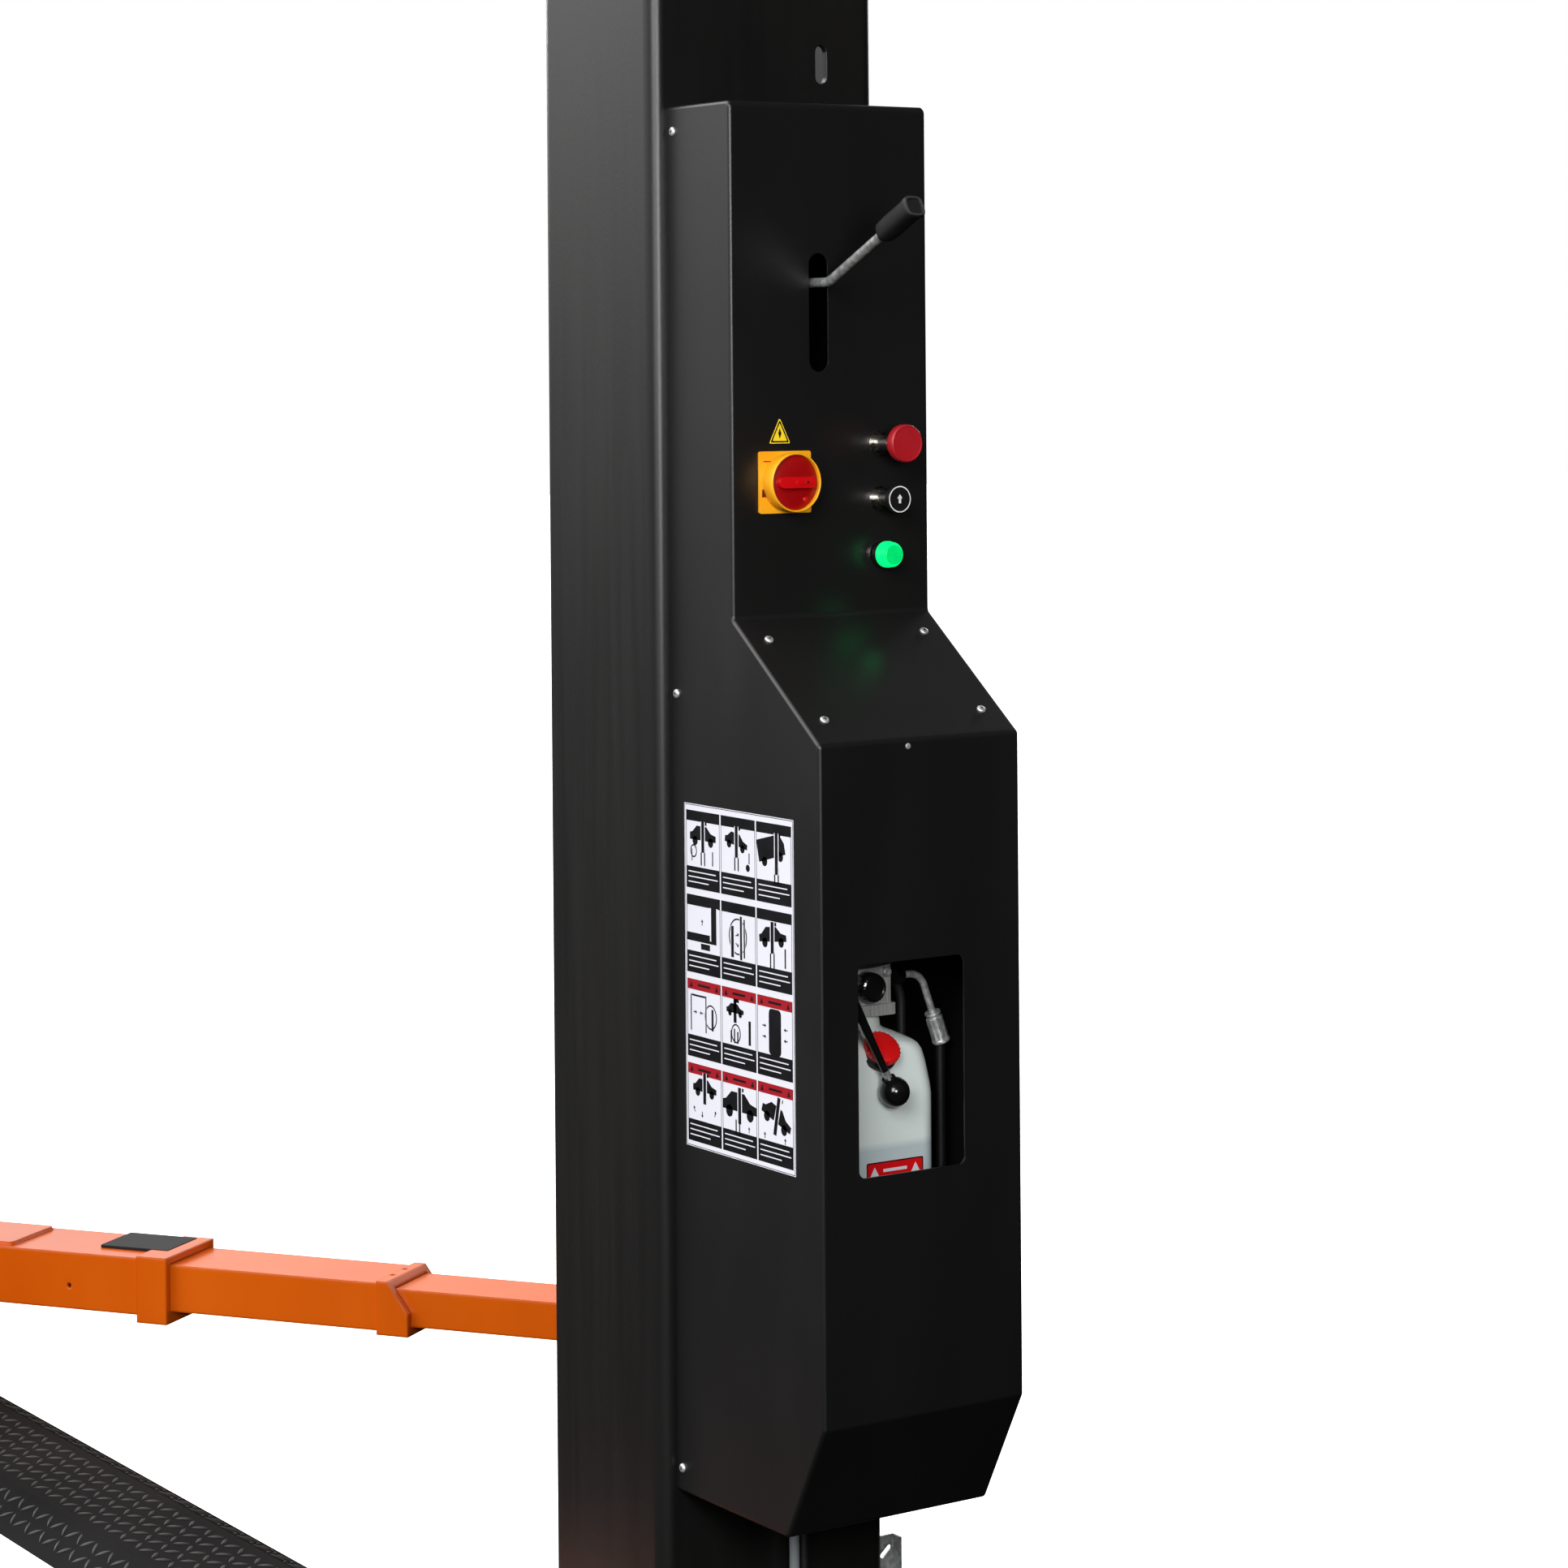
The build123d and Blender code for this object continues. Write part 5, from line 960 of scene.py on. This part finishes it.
# ---- chains
def leaf_link(pitch):
    """One pitch of leaf chain about its own middle: plates that lie by turns over this pitch and the next,
    and a pin. A plate's half height is 5 at the pins and 3.6 at the waist, as a cosine along it."""
    s = np.linspace(-1, 1, 7)
    half = 4.3 - 0.7 * np.cos(pi * s)
    run = s * (pitch / 2 + 4.2)
    outline = np.concatenate([np.stack([run, half], 1), np.stack([run, -half], 1)[::-1]])
    place = (np.zeros(3), np.array([0, 0, 1.0]), np.array([0, 1.0, 0]), np.array([1.0, 0, 0]))
    thick = 1.8
    here = [slab(place, outline, a, a + thick) for a in (-8.0, -4.0, 2.2, 6.2)]
    ahead = [slab(place, outline + (pitch, 0), a, a + thick) for a in (-6.0, -2.0, 0.2, 4.2)]
    pin = turned(moved(place, pitch / 2, 0), [(2.6, -8.6), (2.6, 8.6)], 8)
    return joined([*here, *ahead, pin])


def chains(column):
    """Leaf chains of one column: the anchor run up to the sheave, the half turn over it, and the run
    down to the carriage. The straight runs stand free and fixed in place; the half turn follows the ram."""
    low, high = corners(f"{column}_anchor_chain")
    x, sheave_z = (low[0] + high[0]) / 2, high[2]
    radius, pitch = 50.0, 15.875
    link = leaf_link(pitch)
    mover = f"{column}_ram"
    for name, y, parent in (("anchor_chain", -radius, "lift_frame"),
                            ("lift_chain", radius, f"{column}_slider")):
        start = corners(f"{column}_{name}")[0][2]
        count = int((sheave_z - start) / pitch / 2)
        z = start + pitch * (2 * np.arange(count) + 0.75)
        origins = np.stack([np.full(count, x), np.full(count, y), z], axis=1)
        axes = np.broadcast_to(np.eye(3), (count, 3, 3))
        run = piece(f"{column}_{name}_links", [copies(link, origins, axes)], [CHAIN_STEEL], "lift_frame",
                    [f"{column}_{name}"])
        run.parent = None
        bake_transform(run)
    count = 5
    t = (np.arange(count) + 0.5) / count * pi
    origins = np.stack([np.full(count, x), -radius * np.cos(t), sheave_z + radius * np.sin(t)], axis=1)
    axes = np.stack([
        np.broadcast_to((1.0, 0, 0), (count, 3)),
        np.stack([0 * t, -np.cos(t), np.sin(t)], 1),
        np.stack([0 * t, np.sin(t), np.cos(t)], 1),
    ], axis=1)
    piece(f"{column}_chain_over_sheave", [copies(link, origins, axes)], [CHAIN_STEEL], mover)


# ---- floor cover
def tread_bars():
    """Raised bars on the floor cover: pointed lenses 24 mm long at 45 degrees, turned the other way in
    every second place. A bar's half width and height are (1 - s * s) times their middle values."""
    low, high = corners("floor_cover")
    half_flat, drop, pitch = 78.0, high[2], 26.5
    slope = np.arctan2(drop, high[1] - half_flat)
    s = np.linspace(-0.94, 0.94, 7)[:, None]
    t = angles(6)[None, :]
    swell = 1 - s * s
    bar = skin(np.stack(np.broadcast_arrays(13.5 * s, 3.1 * swell * np.cos(t), 2.2 * swell * np.sin(t)), -1))
    rows = [(y, drop, 0) for y in np.arange(-2, 3) * pitch]
    for side in (-1, 1):
        for along in (21.0, 21.0 + pitch):
            rows.append((side * (half_flat + along * cos(slope)), drop - along * sin(slope), side))
    xs = np.arange(low[0] + 16, high[0] - 12, pitch)
    origins = []
    axes = []
    for y, z, side in rows:
        tilt = np.array([0, sin(slope) * side, cos(slope)]) if side else np.array([0, 0, 1.0])
        across = np.cross(tilt, (1, 0, 0))
        sign = np.where((np.arange(len(xs)) + round(y / pitch)) % 2 == 0, 1.0, -1.0)[:, None]
        lengthwise = unit((1, 0, 0))[None] * 0.7071 + sign * 0.7071 * across[None]
        origins.append(np.stack([xs, np.full(len(xs), y), np.full(len(xs), z)], axis=1))
        axes.append(np.stack([lengthwise, np.cross(tilt[None], lengthwise),
                              np.broadcast_to(tilt, lengthwise.shape)], axis=1))
    # The bars' lighter enamel is painted highlight.
    piece("tread_bars", [copies(bar, np.concatenate(origins), np.concatenate(axes))], [TREAD_BARS_PAINTED_HIGHLIGHT],
          "lift_frame", smooth=60)


# ---- arms
def arm_frame(side, end):
    """An arm's frame at rest: origin on its hinge line at the floor, u along it, w up."""
    pin_radius, drawn_in = 30.0, radians(35.0)
    low, high = corners("power_arm_pins")
    hinge = np.array([side * (low[0] + high[0]) / 2, end * ((high[1] - low[1]) / 2 - pin_radius), 0])
    u = np.array([-side * cos(drawn_in), end * sin(drawn_in), 0])
    w = np.array([0, 0, 1.0])
    return hinge, u, np.cross(w, u), w


def arm_details():
    """Rubber strip on each outer tube, the weld bead round its top plate, and each saddle."""
    level = 210.0
    lengths = {"rear": 556.0, "front": 470.0}
    for column, side in COLUMNS:
        for arm, end in (("rear", 1), ("front", -1)):
            place = arm_frame(side, end)
            outward = 1.0 if side * end < 0 else -1.0
            strip = eased(rectangle(lengths[arm] - 91, outward * 21, 130, 100), 3)
            piece(f"{column}_{arm}_strip", [slab(place, strip, level, level + 5)], [STRIP_RUBBER],
                  f"{column}_{arm}_arm", bevel=1.0)
            plate = eased(rectangle(167.5, 0, 165, 130), 6, 8)
            loop = np.concatenate([plate, plate[:1]])
            bead = tube(put(place, loop[:, 0], loop[:, 1], level + 0.6), 2.2, (0, 0, 1), 8)
            piece(f"{column}_{arm}_bead", [bead], [ARM_ORANGE], f"{column}_{arm}_arm")
            saddle(column, arm, place)


def saddle(column, arm, place):
    """Arm pad: a turned plate on a threaded screw, under moulded rubber with a ring and spokes in relief.
    The thread's radius is 24.4 + 0.55 * cos(2 pi z / 4)."""
    low, high = corners(f"{column}_{arm}_pad")
    centre = np.array([(low[0] + high[0]) / 2, (low[1] + high[1]) / 2, 0])
    axis = (centre, *place[1:])
    seat = high[2] - 26.0
    thread_z = np.arange(low[2] + 1, seat - 0.5, 1.0)
    thread_r = 24.4 + 0.55 * np.cos(thread_z * 2 * pi / 4)
    screw = turned(axis, [(0.5, low[2]), (22, low[2]), *zip(thread_r, thread_z), (24, seat)], 56)
    plate = turned(axis, [(0.5, seat), (58.5, seat), (60, seat + 1.2), (60, seat + 8.8), (58.5, seat + 10),
                          (0.5, seat + 10)], 72)
    radius = (20, 56.4, 57, 57, 56.0, 53.5, 50, 49, 44, 43, 24, 23, 16, 15, 0.5)
    height = (10, 10, 11, 23, 25, 26, 26, 24.4, 24.4, 26, 26, 24.6, 24.6, 26, 26)
    rubber = turned(axis, [(r, seat + h) for r, h in zip(radius, height)], 96, wave=0.012)
    spoke = slab(ROW, rectangle(33.5, 0, 17, 3.2), 0, 1.4)
    spokes = copies(spoke, centre + (0, 0, high[2] - 0.6), round_z(12))
    piece(f"{column}_{arm}_saddle_pad", [screw, plate, (*rubber, 1), (*spokes, 1)], [ZINC, PAD_RUBBER],
          f"{column}_{arm}_saddle", [f"{column}_{arm}_pad"], smooth=45)


# ---- welds at the columns' feet
def foot_welds():
    """Fillet welds between each base plate and its column, wavy as laid: the bead's radius swells and
    shrinks by a tenth about 48 times along each run."""
    plate, bead_radius, corner = 20.0, 4.0, 16
    for column, side in COLUMNS:
        low, high = corners(f"{column}_column")
        top = corners(f"{column}_base")[0][2] + plate
        outer_x = high[0] if side > 0 else low[0]
        runs = [((low[0] + corner, y), (high[0] - corner, y)) for y in (low[1], high[1])]
        runs.append(((outer_x, low[1] + corner), (outer_x, high[1] - corner)))
        share = np.linspace(0, 1, 120)
        radius = bead_radius * (1 + 0.1 * np.sin(share * 300))
        shapes = []
        for (x0, y0), (x1, y1) in runs:
            path = np.stack([x0 + (x1 - x0) * share, y0 + (y1 - y0) * share, np.full(120, top)], axis=1)
            shapes.append(tube(path, radius, (0, 0, 1), 10))
        piece(f"{column}_foot_welds", shapes, [WELD_STEEL], "lift_frame", smooth=70)


# ---- studio
def studio_floor(half=40.0):
    """White paper floor that gives off some light of its own, so that it looks white to the camera."""
    mesh = bpy.data.meshes.new("studio_floor")
    points = [(-half, -half, 0), (half, -half, 0), (half, half, 0), (-half, half, 0)]
    mesh.from_pydata(points, [], [(0, 1, 2, 3)])
    floor = new_object("studio_floor", mesh)
    floor.location.z = -0.001
    paper, tree, shader = finish("studio_paper", "f6f6f5", 0.9, Specular_IOR_Level=0.1,
                                 Emission_Color=linear("ffffff"), Emission_Strength=0.9)
    two_tone(tree, shader, cloud(tree, 900), "f4f4f3", "f8f8f7")
    mesh.materials.append(paper)
    floor.visible_glossy = False
    floor.visible_diffuse = False


def sky():
    """White to the camera. As a light it is bright on the left and less so overhead, dark on the right,
    and fades out towards the horizon: (left lobe + top lobe) * height."""
    world = bpy.data.worlds.new("studio")
    world.use_nodes = True
    bpy.context.scene.world = world
    tree = world.node_tree
    tree.nodes.clear()
    direction = add(tree, "TexCoord").outputs["Generated"]
    lobes = []
    for towards, start, strength in (((-0.79, -0.58, 0.2), 0.1, 3.4), ((-0.6, -0.6, 0.53), 0.25, 1.3)):
        agreement = add(tree, "VectorMath", {0: direction, 1: towards}, operation="DOT_PRODUCT")
        lobes.append(add(tree, "MapRange", {"Value": agreement.outputs["Value"], "From Min": start,
                                            "From Max": 1.0, "To Min": 0.03, "To Max": strength},
                         interpolation_type="SMOOTHSTEP").outputs["Result"])
    up = add(tree, "SeparateXYZ", {"Vector": direction}).outputs["Z"]
    height = add(tree, "MapRange", {"Value": up, "From Min": -0.06, "From Max": 0.42, "To Min": 0.0,
                                    "To Max": 1.0}, interpolation_type="SMOOTHSTEP").outputs["Result"]
    both_lobes = add(tree, "Math", {0: lobes[0], 1: lobes[1]}, operation="ADD").outputs["Value"]
    total = add(tree, "Math", {0: both_lobes, 1: height}, operation="MULTIPLY")
    lit = add(tree, "Background", {"Color": linear("ffffff"), "Strength": total.outputs["Value"]})
    white = add(tree, "Background", {"Color": linear("ffffff"), "Strength": 1.0})
    seen = add(tree, "LightPath").outputs["Is Camera Ray"]
    both = add(tree, "MixShader", {0: seen, 1: lit.outputs["Background"], 2: white.outputs["Background"]})
    out = add(tree, "OutputWorld", {"Surface": both.outputs["Shader"]})
    out.is_active_output = True
    bpy.context.scene.view_settings.view_transform = "Standard"


SOFTBOXES = (   # name, side in metres, power in watts, place
    ("front_softbox", 3.0, 330, (5.8, -4.55, 3.8)), ("fill_softbox", 0.8, 75, (5.4, -1.55, 2.0)),
    ("back_softbox", 2.5, 110, (-2.0, 6.0, 4.0)), ("edge_softbox", 0.7, 90, (-5.7, -0.1, 3.0)),
)


def lights():
    """Square softboxes that all face the middle of the power column, and the pilot lamp's glow."""
    middle = Vector((1.9, 0.0, 1.2))
    for name, size, power, place in SOFTBOXES:
        soft = bpy.data.lights.new(name, "AREA")
        soft.shape = "SQUARE"
        soft.size = size
        soft.energy = power
        box = new_object(name, soft)
        box.location = place
        box.rotation_euler = (middle - box.location).to_track_quat("-Z", "Y").to_euler()
    low, high = corners("lamp_lens")
    glow = bpy.data.lights.new("lamp_glow", "POINT")
    glow.color = linear("10d070")[:3]
    glow.energy = 0.006
    glow.shadow_soft_size = 0.012
    spot = new_object("lamp_glow", glow)
    spot.location = Vector((high[0] + 30, (low[1] + high[1]) / 2 - 22, low[2] - 50)) * MM


def camera(place=(5.0837, -2.3050, 1.6834), yaw=56.1467, pitch=-0.196, roll=-0.4434):
    """Camera at place in metres. Its angles are in degrees: yaw from Y towards -X, pitch up, then roll."""
    yaw, pitch, roll = radians(yaw), radians(pitch), radians(roll)
    ahead = np.array([-sin(yaw) * cos(pitch), cos(yaw) * cos(pitch), sin(pitch)])
    right = np.array([cos(yaw), sin(yaw), 0.0])
    above = np.cross(right, ahead)
    right, above = cos(roll) * right + sin(roll) * above, -sin(roll) * right + cos(roll) * above
    lens = bpy.data.cameras.new("camera")
    lens.lens = 88.45
    lens.sensor_width = 36.0
    lens.shift_y = -0.2563
    lens.clip_end = 200.0
    turn = np.eye(4)
    turn[:3] = np.column_stack([right, above, -ahead, place])
    thing = new_object("camera", lens)
    thing.matrix_world = Matrix(turn.tolist())
    bpy.context.scene.camera = thing


studio_floor()
sky()
lights()
camera()
paint_nodes()
isolator()
stop_button()
raise_button()
pilot_lamp()
release_lever()
hazard_plate()
picture_guide()
cover_screws()
oil_tank()
pump_block()
lowering_lever()
outlet_elbow()
motor()
for column_name, _ in COLUMNS:
    chains(column_name)
tread_bars()
arm_details()
foot_welds()
